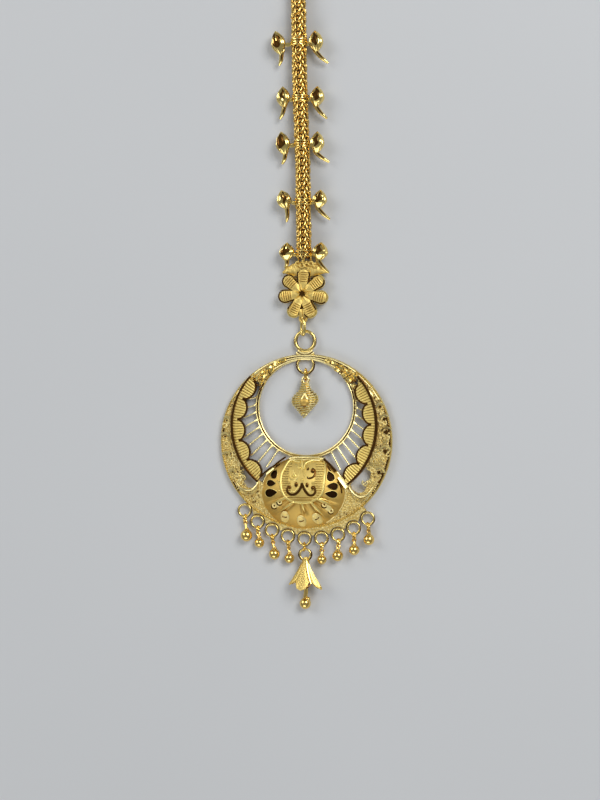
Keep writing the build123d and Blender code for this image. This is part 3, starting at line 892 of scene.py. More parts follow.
def on_band(place):
    """Whether a place lies on the band, clear of the arch, the windows and the dome."""
    x, y = place.x, place.y
    if math.hypot(x - BAND_CENTRE[0], y - BAND_CENTRE[1]) < ARCH_RADIUS + 0.45:
        return False
    if math.hypot(x, y) > WALL_RADIUS - 0.25 or dome_share(x, y) < 1.04:
        return False
    return not (inside(LEFT_WINDOW, x, y) or inside(RIGHT_WINDOW, x, y))


print("dome", 2 * DOME_HALF[0], "by", 2 * DOME_HALF[1], "mm")

# %% Granules, curls and specks of painted shade
random.seed(7)
GRAIN_PITCH = 0.44
GRAIN_ROWS = 16
HORNS_START = 11
CURLS_START = -9
# a draw from 0 to 1 picks what lies on a place: each entry is where its kind's share ends
CURL_SHARE, GRAIN_SHARE, FINE_SHARE, SPECK_SHARE = 0.10, 0.5, 0.8, 0.88
grains, fine_grains, curls, shade_specks = [], [], [], []
for row in range(GRAIN_ROWS):
    reach = WALL_RADIUS - 0.45 - row * GRAIN_PITCH * 0.9
    count = int(2 * math.pi * reach / GRAIN_PITCH)
    for step in range(count):
        angle = 360 * (step + 0.5 * (row % 2)) / count
        spot = polar((0, 0), reach + random.uniform(-0.12, 0.12), angle, BAND_TOP + 0.02)
        if spot.y > HORNS_START or not on_band(spot):
            continue
        raised = spot + Vector((0, 0, 0.1))
        draw = random.random()
        if draw < CURL_SHARE and spot.y > CURLS_START:
            curls.append(at(raised, turn=random.uniform(0, 360), scale=random.uniform(0.8, 1.2)))
        elif draw < GRAIN_SHARE:
            grains.append(at(spot, scale=random.uniform(0.7, 1.25)))
        elif draw < FINE_SHARE:
            fine_grains.append(at(spot, scale=random.uniform(0.45, 0.7)))
        elif draw < SPECK_SHARE:
            shade_specks.append(at(raised, turn=random.uniform(0, 360), scale=random.uniform(0.5, 1.1)))
granulation = bmesh.new()
join(granulation, ball(0.19, fine=1, stretch=(1, 1, 0.6)), *(grains + fine_grains))
join(granulation, wire(arc((0, 0), 0.36, 0, 290, 0, steps=9), 0.13, sides=6, flat=0.7), *curls)
finish(granulation, "crescent_granulation", grain_gold, "chased_gold", "crescent", crease=80)
speck_shade_piece = bmesh.new()
join(speck_shade_piece, ball(0.17, fine=1, stretch=(1.5, 0.9, 0.5)), *shade_specks)
# painted shade: near black specks between the grains
finish(speck_shade_piece, "crescent_punch_marks", painted_dark, "chased_gold", "crescent", crease=80)

# %% Ribbed clusters
# centre, direction and length of each cluster of ribbed wire
CLUSTERS = [((14.6, -1.9), 10, 1.5), ((13.6, -4.9), 15, 2.0), ((15.1, -4.4), 40, 1.3),
            ((14.9, 7.6), -60, 1.5), ((15.7, 0.0), -80, 1.2), ((-15.2, 0.9), 95, 1.6),
            ((-15.4, -3.0), 110, 1.8), ((-14.9, -5.9), 118, 1.6), ((-14.2, 8.4), 60, 1.6),
            ((-15.7, 4.5), 85, 1.4)]
CLUSTER_PITCH = 0.36


def ribbed(v):
    """The swell of a ribbed wire: fuller in its middle, and every other row a little proud."""
    return 0.55 + 0.45 * math.sin(math.pi * v) + 0.16 * (round(v * 10) % 2)


clusters = bmesh.new()
for centre, direction, length in CLUSTERS:
    for shift in (-CLUSTER_PITCH, 0, CLUSTER_PITCH):
        core = []
        for i in range(11):
            along = polar((0, 0), (i / 10 - 0.5) * length, direction)
            bow = shift + 0.25 * math.sin(i / 10 * math.pi)
            core.append(along + polar((0, 0), bow, direction + 90, BAND_TOP + 0.12) + Vector((*centre, 0)))
        join(clusters, wire(core, 0.14, sides=6, swell=ribbed))
finish(clusters, "crescent_ribbed_clusters", pale, "chased_gold", "crescent")

# %% [markdown]
# ## Horns
# Where the crescent closes, its horns carry rows of small faceted nuggets with near black cuts
# between them, painted shade, and a scatter of crumbs. A nugget is a low ball with few faces, kept
# sharp, set at its own tilt. Towards the ring the nuggets end and three wires run on with two
# grooves of near black painted shade between, which is how the two horns meet under the saddle.
# Heavier wires that swell and thin follow the wall on both sides.

# %% Nuggets
HORN_TOP = 1.2
NUGGETS = [(-4.6, 16.1), (-6.0, 15.5), (-7.4, 14.6), (-8.8, 13.5), (-6.9, 14.1), (-8.2, 12.9),
           (-10.0, 12.4), (-9.2, 11.6), (-10.6, 11.2), (4.4, 15.9), (5.75, 15.4), (7.1, 14.6),
           (8.4, 13.7), (6.3, 14.2), (7.6, 13.1), (8.8, 12.2), (9.8, 12.7), (11.0, 11.5), (9.8, 11.0)]
nuggets = bmesh.new()
horn_lines = bmesh.new()
for number, (x, y) in enumerate(NUGGETS):
    facing = math.degrees(math.atan2(y - OPENING_CENTRE[1], x))
    tilt = 12 if number % 2 else -10
    tip, roll = 9 * (number % 3 - 1), 20 * (number % 4 - 1.5)
    seat = at((x, y, HORN_TOP + 0.1), turn=facing + tilt, tip=tip, roll=roll)
    join(nuggets, ball(0.62, fine=1, stretch=(0.8, 1.15, 0.62)), seat)
    cut = polar((x, y), 0.66, facing + (90 if x < 0 else -90), HORN_TOP - 0.2)
    ends = [polar(cut, reach, facing + 2 * tilt, cut.z) for reach in (-0.5, 0.0, 0.5)]
    join(horn_lines, strip(ends, 0.14, 0.34))
print(len(NUGGETS), "nuggets")

# %% Crumbs
CRUMBS = 150
crumbs = []
while len(crumbs) < CRUMBS:
    side = random.choice((-1, 1))
    reach = random.uniform(9.9, 12.6)
    crumb = polar(OPENING_CENTRE, reach, 90 + side * random.uniform(22, 62), HORN_TOP)
    within_wall = math.hypot(crumb.x, crumb.y) < WALL_RADIUS - 0.35
    if within_wall and (crumb - Vector((*BAND_CENTRE, HORN_TOP))).length > 10.6:
        crumbs.append(at(crumb, scale=random.uniform(0.55, 1.25)))
join(nuggets, ball(0.24, fine=1), *crumbs)
finish(nuggets, "crescent_horn_blocks", bright, "chased_gold", "crescent", crease=25)

# %% Lines where the horns meet
def horn_line(share, start, end, height):
    """A line along the horns, part of the way from the opening to the wall."""
    line = []
    for angle in range(start, end + 1, 2):
        near, far = reach_to(OPENING_CENTRE, RIM_RADIUS, angle), reach_to((0, 0), WALL_RADIUS, angle)
        line.append(polar(BAND_CENTRE, near + (far - near) * share, angle, height))
    return line


HORN_GROOVE_FOOT = 0.85
horn_wires = bmesh.new()
for share, start, end in ((0.5, 70, 110), (0.95, 46, 134), (0.14, 60, 120)):
    join(horn_wires, wire(horn_line(share, start, end, HORN_TOP), 0.15))
for share in (0.3, 0.73):
    join(horn_lines, strip(horn_line(share, 68, 112, HORN_GROOVE_FOOT), 0.2, 0.42))
join(horn_lines, strip(horn_line(0.84, 50, 68, HORN_GROOVE_FOOT), 0.2, 0.4))
for start, end, thick in ((121, 152, 0.3), (58, 20, 0.2)):
    line = arc((0, 0), WALL_RADIUS - 0.35, start, end, 1.05, steps=30)
    join(horn_wires, wire(line, thick, sides=10, swell=swelling(0.4, 0.7)))
join(horn_wires, wire(arc((0, 0), WALL_RADIUS - 0.95, 52, 34, 1.15, steps=20), 0.17, sides=8))
finish(horn_wires, "crescent_horn_wires", pale, "polished_gold", "crescent")

# %% Pits
# x, y and radius of each near black pit of painted shade between the nuggets
PITS = [(9.0, 13.1, 0.26), (9.9, 12.0, 0.35), (10.9, 11.2, 0.42), (9.3, 11.7, 0.24), (-8.1, 13.7, 0.2),
        (-9.2, 12.3, 0.22), (5.4, 15.6, 0.2), (7.3, 13.8, 0.2), (-10.6, 12.0, 0.24), (-9.9, 11.2, 0.22),
        (-9.2, 10.4, 0.26)]
for x, y, size in PITS:
    join(horn_lines, ball(size, fine=2, stretch=(1, 1, 0.6)), at((x, y, 1.28), turn=x * 40))
# painted shade: the horns' near black cuts, grooves and pits
finish(horn_lines, "crescent_horn_grooves", painted_dark, "polished_gold", "crescent")

# %% Saucers and window curls
LEFT_SAUCER = [(-13.9, -8.5, 1.4), (-13.2, -9.35, 1.5), (-12.0, -9.85, 1.6), (-10.8, -9.7, 1.6),
               (-9.9, -8.9, 1.6), (-9.6, -8.0, 1.5)]
RIGHT_SAUCER = [(8.8, -9.2, 1.5), (9.6, -10.3, 1.6), (10.8, -10.95, 1.6), (12.0, -10.8, 1.6),
                (12.8, -10.2, 1.5), (13.6, -9.1, 1.4)]
# centre, start in degrees and radius of each curl in a window
WINDOW_CURLS = [((-12.75, -7.35), -60, 0.5), ((12.0, -8.25), 130, 0.55), ((-13.3, -8.0), 0, 0.3),
                ((13.2, -7.9), 0, 0.4)]
saucers = bmesh.new()
for line in (LEFT_SAUCER, RIGHT_SAUCER):
    path = smooth_path(line)
    join(saucers, wire(path, 0.24, swell=swelling(0.5, 0.5)))
    for sag in (0.42, 0.8):
        lower = [p + Vector((0, -sag * math.sin(math.pi * i / (len(path) - 1)) - 0.1, -0.12))
                 for i, p in enumerate(path)]
        join(saucers, wire(lower, 0.13, sides=6))
for centre, start, radius in WINDOW_CURLS:
    join(saucers, wire(arc(centre, radius, start, start + 280, 1.35, steps=14), 0.2, sides=7))
    join(saucers, ball(0.26, fine=1), at((*centre, 1.4)))
finish(saucers, "crescent_saucers", pale, "chased_gold", "crescent")
facet = bmesh.new()
join(facet, strip(smooth_path([(6.9, -7.1, 1.5), (7.6, -8.0, 1.6), (8.4, -9.1, 1.5)]), 0.95, 0.5, lean=0.46))
join(facet, strip(smooth_path([(-7.9, -6.6, 1.4), (-7.2, -6.0, 1.4), (-6.4, -5.4, 1.4)]), 0.5, 0.4, lean=0.4))
finish(facet, "crescent_bright_facets", pale, "polished_gold", "crescent")

# %% [markdown]
# ## The dome
# The middle of the crescent is a dome raised from sheet. Six teardrops are sawn through it, and
# the hollow inside shows dark through a near black lining, which is painted shadow. The shell is
# bent from a flat grid of rings, given its thickness inwards, and cut with teardrop-shaped tools.
# Its lower half is chased into petals: the sheet itself rises along a few ridges that spread from
# the shield.

# %% Chased ridges
# ridge lines from the shield outwards: start x, y, end x, y, half width, height
RIDGES = [(-3.3, -11.1, -7.4, -12.8, 0.42, 0.42), (-1.9, -12.0, -5.5, -14.4, 0.42, 0.5),
          (-0.3, -12.2, 0.35, -14.4, 0.36, 0.5), (1.5, -12.0, 4.4, -15.4, 0.46, 0.58),
          (2.7, -11.4, 6.2, -12.9, 0.46, 0.55)]


def chasing(x, y):
    """How far the chased ridges raise the dome's sheet."""
    lift = 0.0
    spot = Vector((x, y))
    for ax, ay, bx, by, half, height in RIDGES:
        start, run = Vector((ax, ay)), Vector((bx - ax, by - ay))
        share = (spot - start).dot(run) / run.length_squared
        if not -0.1 < share < 1.25:
            continue
        off = abs((spot - start).cross(run)) / run.length
        wide = half * (0.5 + 0.8 * max(share, 0.0))
        fade = min(1.0, (share + 0.1) * 6) * min(1.0, (1.25 - share) * 2)
        crest = height * max(0.0, 1 - off / wide) ** 1.3
        valley = 0.17 * math.exp(-((off - 1.35 * wide) / 0.22) ** 2)
        lift += (crest - valley) * fade
    return lift


print(len(RIDGES), "ridges")

# %% Dome shell
def dome_place(turn, across, along):
    """The (x, y) on an oval round the dome's middle, by shares of the dome's two half sizes."""
    return (DOME_CENTRE[0] + across * DOME_HALF[0] * math.cos(turn),
            DOME_CENTRE[1] + along * DOME_HALF[1] * math.sin(turn))


def dome_skin(u, v):
    """The chased dome: u runs round it, and v from its middle to its edge."""
    share = math.sin(v * math.pi / 2)
    x, y = dome_place(2 * math.pi * u, share, share)
    return on_dome(x, y, chasing(x, y) if v < 0.999 else 0.0)


SHELL_MM = 0.28
RINGS, SPOKES = 72, 180


def skin(drop, edge):
    """The dome's surface, lowered by some depth and drawn in at its edge."""
    def surface(u, v):
        place = dome_skin(u, v)
        inward = Vector((DOME_CENTRE[0] - place.x, DOME_CENTRE[1] - place.y, 0)) * edge
        return place + inward - UP * drop
    part = sheet(SPOKES, RINGS, surface)
    bmesh.ops.remove_doubles(part, verts=part.verts[:], dist=WELD_MM)
    return part


dome = bmesh.new()
join(dome, skin(0.0, 0.0))
join(dome, skin(SHELL_MM, 0.03))
bmesh.ops.bridge_loops(dome, edges=[e for e in dome.edges if e.is_boundary])
shell = finish(dome, "dome_shell", matte, "chased_gold", "crescent", crease=50)

# %% Teardrops
# middle x, y, direction of the tip, length and width of each teardrop
TEARDROPS = [(-6.2, -6.55, 66, 2.0, 1.55), (-6.75, -8.4, -2, 2.15, 1.35), (-6.75, -10.3, 8, 2.8, 1.75),
             (5.1, -6.95, 112, 2.2, 1.55), (5.6, -8.95, 176, 2.15, 1.50), (5.35, -10.5, 172, 2.45, 1.50)]


def teardrop(x, y, direction, length, width):
    """The outline of a plump teardrop round its middle, its tip in a direction."""
    turn = Matrix.Rotation(math.radians(direction), 2)
    plump = [Vector((length / 2 * math.cos(t), width / 1.6 * math.sin(t) * math.sin(t / 2) ** 0.8))
             for t in full_turn(32)]
    return [tuple(turn @ p + Vector((x, y))) for p in plump]


drops = bmesh.new()
drop_rims = bmesh.new()
for row in TEARDROPS:
    outline = teardrop(*row)
    join(drops, prism(outline, 0.5, 5))
    join(drop_rims, wire([on_dome(x, y) for x, y in outline][1:], 0.06, sides=6, closed=True))
cut_away(shell, drops)
finish(drop_rims, "dome_teardrop_rims", satin, "chased_gold", "crescent")

# %% Dome lining of painted shadow, and back
def lining_skin(u, v):
    """A near black bowl of painted shadow inside the dome, a little smaller and lower than the shell."""
    x, y = dome_place(2 * math.pi * u, 0.93 * v, 0.93 * v)
    return on_dome(x, y, -0.36)


# painted shadow: a near black bowl where the inside of the dome lies in shade
finish(welded(sheet(48, 10, lining_skin)), "dome_lining", painted_shadow, "engraved_gold", "crescent")
back_outline = [dome_place(math.radians(t), 0.97, 0.96) for t in range(0, 360, 4)]
finish(prism(back_outline, 0.05, 0.9), "dome_back", polished, "engraved_gold", "crescent")

# %% [markdown]
# ## The shield and its scrolls
# Over the dome's upper half lies a paler shield: a thin plate, outlined by a soldered wire and
# ruled with fine ribs, with a darker line of painted shade between them. Three scrolls of near
# black gold, a painted reflection of the dark room, stand on it, with paler wires curled between
# them. The plate is a sheet stretched between the outline's two sides. The rest are wires laid
# over the dome: each path is drawn flat and every point is lifted onto the surface below it, which
# keeps them in touch with the dome wherever it slopes. Short wires on the crests of the dome's
# ridges belong to the outline, for they are soldered with it.

# %% Shield plate
def draped(points, lift, steps=6):
    """A rounded line of (x, y) places laid on the dome."""
    flat_line = smooth_path([(x, y, 0) for x, y in points], steps)
    return [on_dome(p.x, p.y, lift) for p in flat_line]


SHIELD_LEFT = [(-0.9, -4.15), (-1.7, -4.1), (-3.1, -3.85), (-4.0, -5.2), (-4.65, -6.9), (-4.6, -9.1),
               (-3.95, -10.7), (-2.9, -11.65), (-1.5, -12.05), (-0.1, -12.25)]
SHIELD_RIGHT = [(-0.2, -5.6), (0.2, -4.4), (1.9, -3.8), (3.7, -3.95), (4.05, -5.6), (4.0, -7.7),
                (3.85, -9.6), (3.5, -10.6), (2.5, -11.45), (1.3, -12.05), (-0.1, -12.25)]
SHIELD_TOP = -3.96
SHIELD_LENGTH = 8.2


def shield_side(outline, y):
    """The x of one side of the shield at a height y, along its outline."""
    for (ax, ay), (bx, by) in zip(outline, outline[1:]):
        if ay >= y >= by:
            return ax + (bx - ax) * (ay - y) / (ay - by)
    return 0.0


def shield_sheet(u, v):
    """The plate, stretched between the two sides of its outline."""
    y = SHIELD_TOP - SHIELD_LENGTH * v
    near, far = shield_side(SHIELD_LEFT[2:], y), shield_side(SHIELD_RIGHT[3:], y)
    return on_dome(near + (far - near) * u, y, 0.09)


shield_plate = walled(sheet(30, 40, shield_sheet), 0.12)
finish(shield_plate, "shield_plate", petal_gold, "chased_gold", "crescent", crease=60)

# %% Shield outline
# lines that run on from the shield, and their thickness
SHIELD_LINES = [([(-4.6, -8.35), (-5.2, -8.2), (-5.75, -7.9)], 0.24),
                ([(-4.2, -9.8), (-4.8, -9.85), (-5.4, -9.7)], 0.24),
                ([(2.8, -11.4), (4.3, -11.6), (5.8, -12.5)], 0.24),
                ([(-0.75, -3.6), (-0.5, -4.6), (-0.45, -5.8)], 0.3)]


def crest_swell(v):
    """The swell of a wire on a ridge: fullest a third of the way along and thin at its end."""
    return 0.25 + 0.75 * math.sin(math.pi * min(1.0, 0.15 + v)) ** 0.8


shield = bmesh.new()
for outline in (SHIELD_LEFT, SHIELD_RIGHT):
    join(shield, wire(draped(outline, 0.02), 0.3, sides=10))
for line, thick in SHIELD_LINES:
    join(shield, wire(draped(line, 0.0), thick, swell=taper(1.15, -0.85)))
for ax, ay, bx, by, half, _ in RIDGES:
    crest = [(ax + (bx - ax) * share, ay + (by - ay) * share) for share in (0.0, 0.2, 0.4, 0.6, 0.8)]
    chased = [p + UP * chasing(p.x, p.y) for p in draped(crest, -0.08)]
    join(shield, wire(chased, 0.62 * half, flat=0.6, swell=crest_swell))
finish(shield, "shield_outline", satin, "chased_gold", "crescent")

# %% Shield ribs
SHIELD_RIBS = 17
SHIELD_RIB_PITCH = 0.47
FIRST_SHIELD_RIB = -4.35


def rib_spans(y):
    """The stretches of a rib at a height: one on each side of the scrolls, or one below them."""
    left = -4.75 + 0.85 * max(0.0, (y + 6.6) / 2.4) ** 1.2 + 1.5 * max(0.0, (-9.6 - y) / 2.0) ** 1.6
    right = 3.95 - 1.2 * max(0.0, (-9.9 - y) / 1.6) ** 1.5
    if y > -7.9:
        return [(left, -3.05 + 0.5 * (y > -5)), (2.2, right)]
    if y > -9.6:
        return [(left, -2.55), (1.6, right)]
    if y > -10.9:
        return [(left, -3.25), (2.6, right)]
    return [(left, right)]


ribs = bmesh.new()
rib_shade_lines = bmesh.new()
for row in range(SHIELD_RIBS):
    y = FIRST_SHIELD_RIB - row * SHIELD_RIB_PITCH
    for left, right in rib_spans(y):
        if right - left > 0.3:
            line = [(left + (right - left) * i / 4, y) for i in range(5)]
            below = [(x, y - SHIELD_RIB_PITCH / 2) for x, y in line]
            join(rib_shade_lines, strip(draped(below, 0.04, 2), 0.1, 0.1))
            join(ribs, wire(draped(line, 0.05, 2), 0.165, sides=6, swell=swelling(0.75, 0.25)))
# painted shade: darker strips between the ribs
finish(rib_shade_lines, "shield_rib_lines", deep, "chased_gold", "crescent")
finish(ribs, "shield_ribs", satin, "chased_gold", "crescent")

# %% Scrolls
# each scroll's line and width
SCROLLS = [([(-0.28, -8.35), (-0.45, -9.1), (-0.95, -9.95), (-1.7, -10.5), (-2.5, -10.55),
             (-3.1, -10.1), (-3.2, -9.5), (-2.9, -9.05), (-2.6, -9.25)], 0.5),
           ([(-0.28, -8.35), (0.0, -9.1), (0.5, -10.0), (1.15, -10.65), (1.8, -10.65), (2.25, -10.15),
             (2.25, -9.5), (1.95, -9.05), (1.6, -9.3)], 0.5),
           ([(1.6, -5.45), (2.1, -5.75), (2.3, -6.4), (2.1, -7.05), (1.5, -7.5), (0.9, -7.5),
             (0.6, -7.25)], 0.4)]
# x, y, size, turn and length of each drop of gold on the scrolls
SCROLL_DROPS = [(-2.75, -9.2, 0.34, 0, 1.1), (1.85, -9.25, 0.34, 0, 1.2), (1.68, -5.95, 0.42, 10, 1.4),
                (-1.45, -8.6, 0.36, 0, 1.55), (0.75, -8.7, 0.32, 0, 1.6), (0.75, -5.55, 0.2, -20, 2.2)]
scrolls = bmesh.new()
for line, width in SCROLLS:
    join(scrolls, strip(draped(line, -0.2), width, 0.42))
for x, y, size, turn, stretch in SCROLL_DROPS:
    join(scrolls, ball(size, stretch=(1, stretch, 0.5)), at(on_dome(x, y, 0.14), turn=turn))
join(scrolls, strip(draped([(0.9, -3.95), (1.8, -3.85), (2.4, -3.9)], -0.1), 0.26, 0.3))
# painted reflection: the scrolls' near black gold
finish(scrolls, "shield_scrolls", painted_dark, "polished_gold", "crescent")

# %% Lines between the scrolls
INNER_LINES = [[(-0.75, -8.5), (-1.0, -9.2), (-1.6, -9.85), (-2.2, -10.0), (-2.6, -9.75)],
               [(0.15, -8.5), (0.45, -9.2), (1.0, -9.95), (1.5, -10.1), (1.8, -9.85)],
               [(0.2, -4.5), (-0.25, -5.3), (-0.1, -6.4), (0.35, -7.0), (0.9, -7.15), (1.45, -6.9)],
               [(0.7, -4.6), (0.35, -5.3), (0.5, -6.2)],
               [(-1.9, -4.6), (-1.4, -4.9), (-1.2, -5.5)],
               [(-0.9, -5.6), (-0.95, -6.5), (-1.2, -7.3), (-1.9, -7.7), (-2.7, -7.35), (-3.05, -6.6),
                (-2.8, -5.8)],
               [(-2.3, -5.7), (-1.9, -6.3), (-1.7, -6.9), (-2.1, -7.1), (-2.45, -6.8)],
               [(-0.28, -7.3), (-0.28, -8.2)]]
INNER_GRAINS = [(-2.05, -6.8, 0.1), (-0.3, -7.6, 0.1), (-0.9, -5.3, 0.05)]
inner_lines = bmesh.new()
for line in INNER_LINES:
    join(inner_lines, wire(draped(line, 0.03), 0.18, sides=7, swell=swelling(0.6, 0.5)))
join(inner_lines, ball(0.3), *[at(on_dome(*place)) for place in INNER_GRAINS])
finish(inner_lines, "shield_inner_lines", satin, "chased_gold", "crescent")

# %% Circlets and beans
CIRCLETS = [(-4.85, -12.1), (-6.05, -12.85), (4.1, -12.55), (5.3, -13.8)]
# x, y and turn of each ribbed bean
BEANS = [(-3.99, -15.1, -10), (-0.6, -15.9, 12), (2.56, -15.4, 32)]
BEAN_TIP = 38
BEAN_RIBS = 6
BEAN_RIB_PITCH = 0.36
# x, y, turn and slope of the pad under each pair of circlets
PADS = [(-5.45, -12.5, 32, -24), (4.7, -13.2, -46, 27)]
circlets = bmesh.new()
for x, y, turn, slope in PADS:
    join(circlets, ball(0.62, fine=3, stretch=(2.1, 1.0, 0.3)), at(on_dome(x, y), turn=turn, roll=slope))
for x, y in CIRCLETS:
    join(circlets, hoop(ORIGIN, 0.36, 0.16, 20), at(on_dome(x, y, 0.2)))
for x, y, turn in BEANS:
    seat = at(on_dome(x, y, 0.05), turn=turn, tip=BEAN_TIP)
    join(circlets, ball(0.95, fine=3, stretch=(1.0, 1.62, 0.28)), seat)
    for step in range(BEAN_RIBS):
        rib = wire(arc((0, 0), 0.6, 200, 340, 0.26, steps=8, squash=0.3), 0.08, sides=5)
        join(circlets, rib, seat @ Matrix.Translation((0, 1.05 - BEAN_RIB_PITCH * step, 0)))
finish(circlets, "dome_circlets", grain_gold, "chased_gold", "crescent")

# %% Painted shade in and under them
recess_shade = bmesh.new()
for x, y in CIRCLETS:
    join(recess_shade, ball(0.22, stretch=(1, 1, 0.5)), at(on_dome(x, y, 0.2)))
    shadow = wire(arc((0, 0), 0.6, 195, 345, 0, steps=12), 0.11, sides=6)
    join(recess_shade, shadow, at(on_dome(x - 0.05, y - 0.08, 0.15), turn=-25))
for x, y, turn in BEANS:
    cleft_shade = wire(arc((0, 0), 0.5, 200, 340, 0.3, steps=8, squash=0.5), 0.1, sides=6)
    seat = at(on_dome(x, y, 0.08), turn=turn, tip=BEAN_TIP)
    join(recess_shade, cleft_shade, seat @ Matrix.Translation((0, 0.4, 0)))
# painted shade: near black dots in the circlets, arcs under them and lines in the beans' clefts
finish(recess_shade, "dome_recesses", painted_dark, "polished_gold", "crescent")

# %% Bevelled edges beside the shield
# places and width of the edges above the dome, then of those that lie on it
FREE_BEVELS = [([(-4.0, -3.2, 1.3), (-5.1, -3.95, 1.3), (-6.35, -4.95, 1.3)], 0.36),
               ([(-6.3, -4.9, 1.3), (-7.9, -6.0, 1.3), (-9.4, -7.5, 1.3)], 0.3),
               ([(3.7, -3.5, 1.4), (5.0, -4.7, 1.4), (6.2, -6.0, 1.4)], 0.46)]
DOME_BEVELS = [[(-6.05, -5.25), (-5.6, -4.9), (-5.15, -4.6)], [(4.3, -4.85), (4.8, -5.5), (5.15, -6.0)],
               [(6.5, -8.0), (7.1, -9.0), (7.35, -10.3)]]
bevels = bmesh.new()
for line, width in FREE_BEVELS:
    join(bevels, strip(smooth_path(line), width, 0.45))
for line in DOME_BEVELS:
    join(bevels, strip(draped(line, -0.15), 0.3, 0.3))
# painted reflection: the bevels' near black gold stands for the dark room
finish(bevels, "dome_bevels", painted_dark, "polished_gold", "crescent")

# %% Collar
COLLAR_SHARE = 0.985
collar = bmesh.new()
for start, end, thick in ((-56, 36, 0.12), (128, 176, 0.14)):
    edge = [dome_place(math.radians(t), COLLAR_SHARE, COLLAR_SHARE) for t in range(start, end + 1, 4)]
    join(collar, wire([on_dome(x, y, 0.08) for x, y in edge], thick))
for line in ([(-3.3, -3.45, 1.3), (-0.5, -3.2, 1.5), (2.6, -3.35, 1.3), (3.9, -3.5, 1.3)],
             [(-3.1, -3.82, 1.5), (-1.9, -3.72, 1.62), (-0.5, -3.68, 1.68), (1.2, -3.66, 1.64),
              (2.9, -3.8, 1.5)]):
    join(collar, wire(smooth_path(line), 0.22))
finish(collar, "dome_collar", pale, "chased_gold", "crescent")

# %% [markdown]
# ## Rings and skirt
# Nine small rings hang along the lower edge and a larger one stands at the top, over a saddle of
# two bent wires. They are plain rings, made by rolling a sheet round a circle, in bright wire.
# A near black crescent on each flank of a ring darkens its sides: painted shade. A granulated
# plate lies behind the small rings. Its lower edge is scalloped by arcs round the rings, and a bow
# of wire follows each of them, with a thin near black arc of painted shade under it.

# %% Rings
RING_CIRCLE = (0.74, -1.1)
RING_REACH = 18.44
RING_PITCH = 10.65
RING_SKEW = -3.2
RING_HEIGHT = 0.75
RINGS_A_SIDE = 4
RING_DIRECTIONS = [-90 + RING_SKEW + RING_PITCH * k for k in range(-RINGS_A_SIDE, RINGS_A_SIDE + 1)]
RING_SPOTS = [polar(RING_CIRCLE, RING_REACH, direction, RING_HEIGHT) for direction in RING_DIRECTIONS]
INNER_RING = Vector((-0.1, 15.15, 0.75))
TOP_RING = Vector((-0.15, 19.95, 0.9))
rings = bmesh.new()
ring_shade_lines = bmesh.new()
for spot in RING_SPOTS:
    join(rings, hoop(spot, 1.21, 0.22, 40, sides=12, flat=1.1))
    darken_flanks(ring_shade_lines, spot, 1.36, 0.03, ((105, 245), (-85, 40)), 0.13, swelling(0.15, 1.0, 0.6), 24)
join(rings, hoop(TOP_RING, 1.95, 0.33, 64, sides=16))
join(rings, hoop(INNER_RING, 1.58, 0.22, 48, sides=12, flat=1.1))
darken_flanks(ring_shade_lines, INNER_RING, 1.78, 0.06, ((95, 265), (-100, 80)), 0.15, swelling(0.2, 1.0, 0.5))
for reach in (1.66, 2.2):
    darken_flanks(ring_shade_lines, TOP_RING, reach, 0.08, ((140, 228), (-50, 42)), 0.13, swelling(0.1, 1.0))
finish(rings, "crescent_rings", bright, "polished_gold", "crescent")

# %% Skirt
skirt = bmesh.new()
skirt_outline = []
for k, spot in enumerate(RING_SPOTS):
    facing = 90 + RING_SKEW + RING_PITCH * (k - RINGS_A_SIDE)
    hug = 62 if 0 < k < 2 * RINGS_A_SIDE else 30
    join(skirt, wire(arc(spot, 1.66, facing - hug, facing + hug, 0.85, steps=16), 0.18, sides=6))
    # painted shade: a thin near black arc between each bow and its ring
    join(ring_shade_lines, wire(arc(spot, 1.47, facing - hug, facing + hug, 1.0, steps=16), 0.06, sides=5))
    skirt_outline += from_above(arc(spot, 1.6, facing + hug, facing - hug, 0, steps=12))
finish(ring_shade_lines, "crescent_ring_shadows", painted_dark, "polished_gold", "crescent")

# %% Saddle and skirt plate
for reach, thick in ((2.42, 0.22), (2.95, 0.2)):
    join(skirt, wire(arc(TOP_RING, reach, -128, -52, 0.95, steps=20), thick))
finish(skirt, "crescent_skirt", pale, "chased_gold", "crescent")
skirt_outline += from_above(arc((0, 0), WALL_RADIUS - 0.3, -48, -136, 0, steps=60))
finish(prism(skirt_outline, 0.35, 0.95), "crescent_skirt_plate", grainy, "chased_gold", "crescent")
saddle_grooves = bmesh.new()
join(saddle_grooves, strip(arc(TOP_RING, 2.68, -124, -56, 0.6, steps=20), 0.2, 0.45))
join(saddle_grooves, strip(arc(TOP_RING, 3.2, -112, -68, 0.6, steps=16), 0.24, 0.5))
# painted shade: near black grooves in the saddle
finish(saddle_grooves, "crescent_skirt_groove", painted_dark, "polished_gold", "crescent")

# %% [markdown]
# ## Centre drop
# The drop in the opening is rope wire coiled over a hollow core, narrow at the neck and widest
# just below its middle. Each coil is an oval loop of wire that swells and thins along its
# length, which is how a twisted rope looks from outside.

# %% The drop's shape
DROP_AXIS = Vector((-0.02, 0, 1.75))
DROP_DEPTH = 0.58
# place along the drop and half width there
DROP_PROFILE = [(11.7, 0.62), (11.2, 0.72), (10.4, 0.95), (9.8, 1.4), (9.4, 1.95), (8.8, 2.45),
                (8.0, 2.6), (7.4, 2.35), (6.8, 1.8), (6.2, 1.3), (5.4, 0.65), (4.9, 0.15)]


def drop_width(y):
    """The drop's half width at a place along it."""
    for (upper, wide), (lower, narrow) in zip(DROP_PROFILE, DROP_PROFILE[1:]):
        if upper >= y >= lower:
            return narrow + (wide - narrow) * (y - lower) / (upper - lower)
    return 0.2


print("drop", 2 * max(half for _, half in DROP_PROFILE), "mm wide")

# %% Turns of rope
COILS = 15
COIL_PITCH = 0.46
FIRST_COIL = 11.5
STRAND_PITCH = 0.36


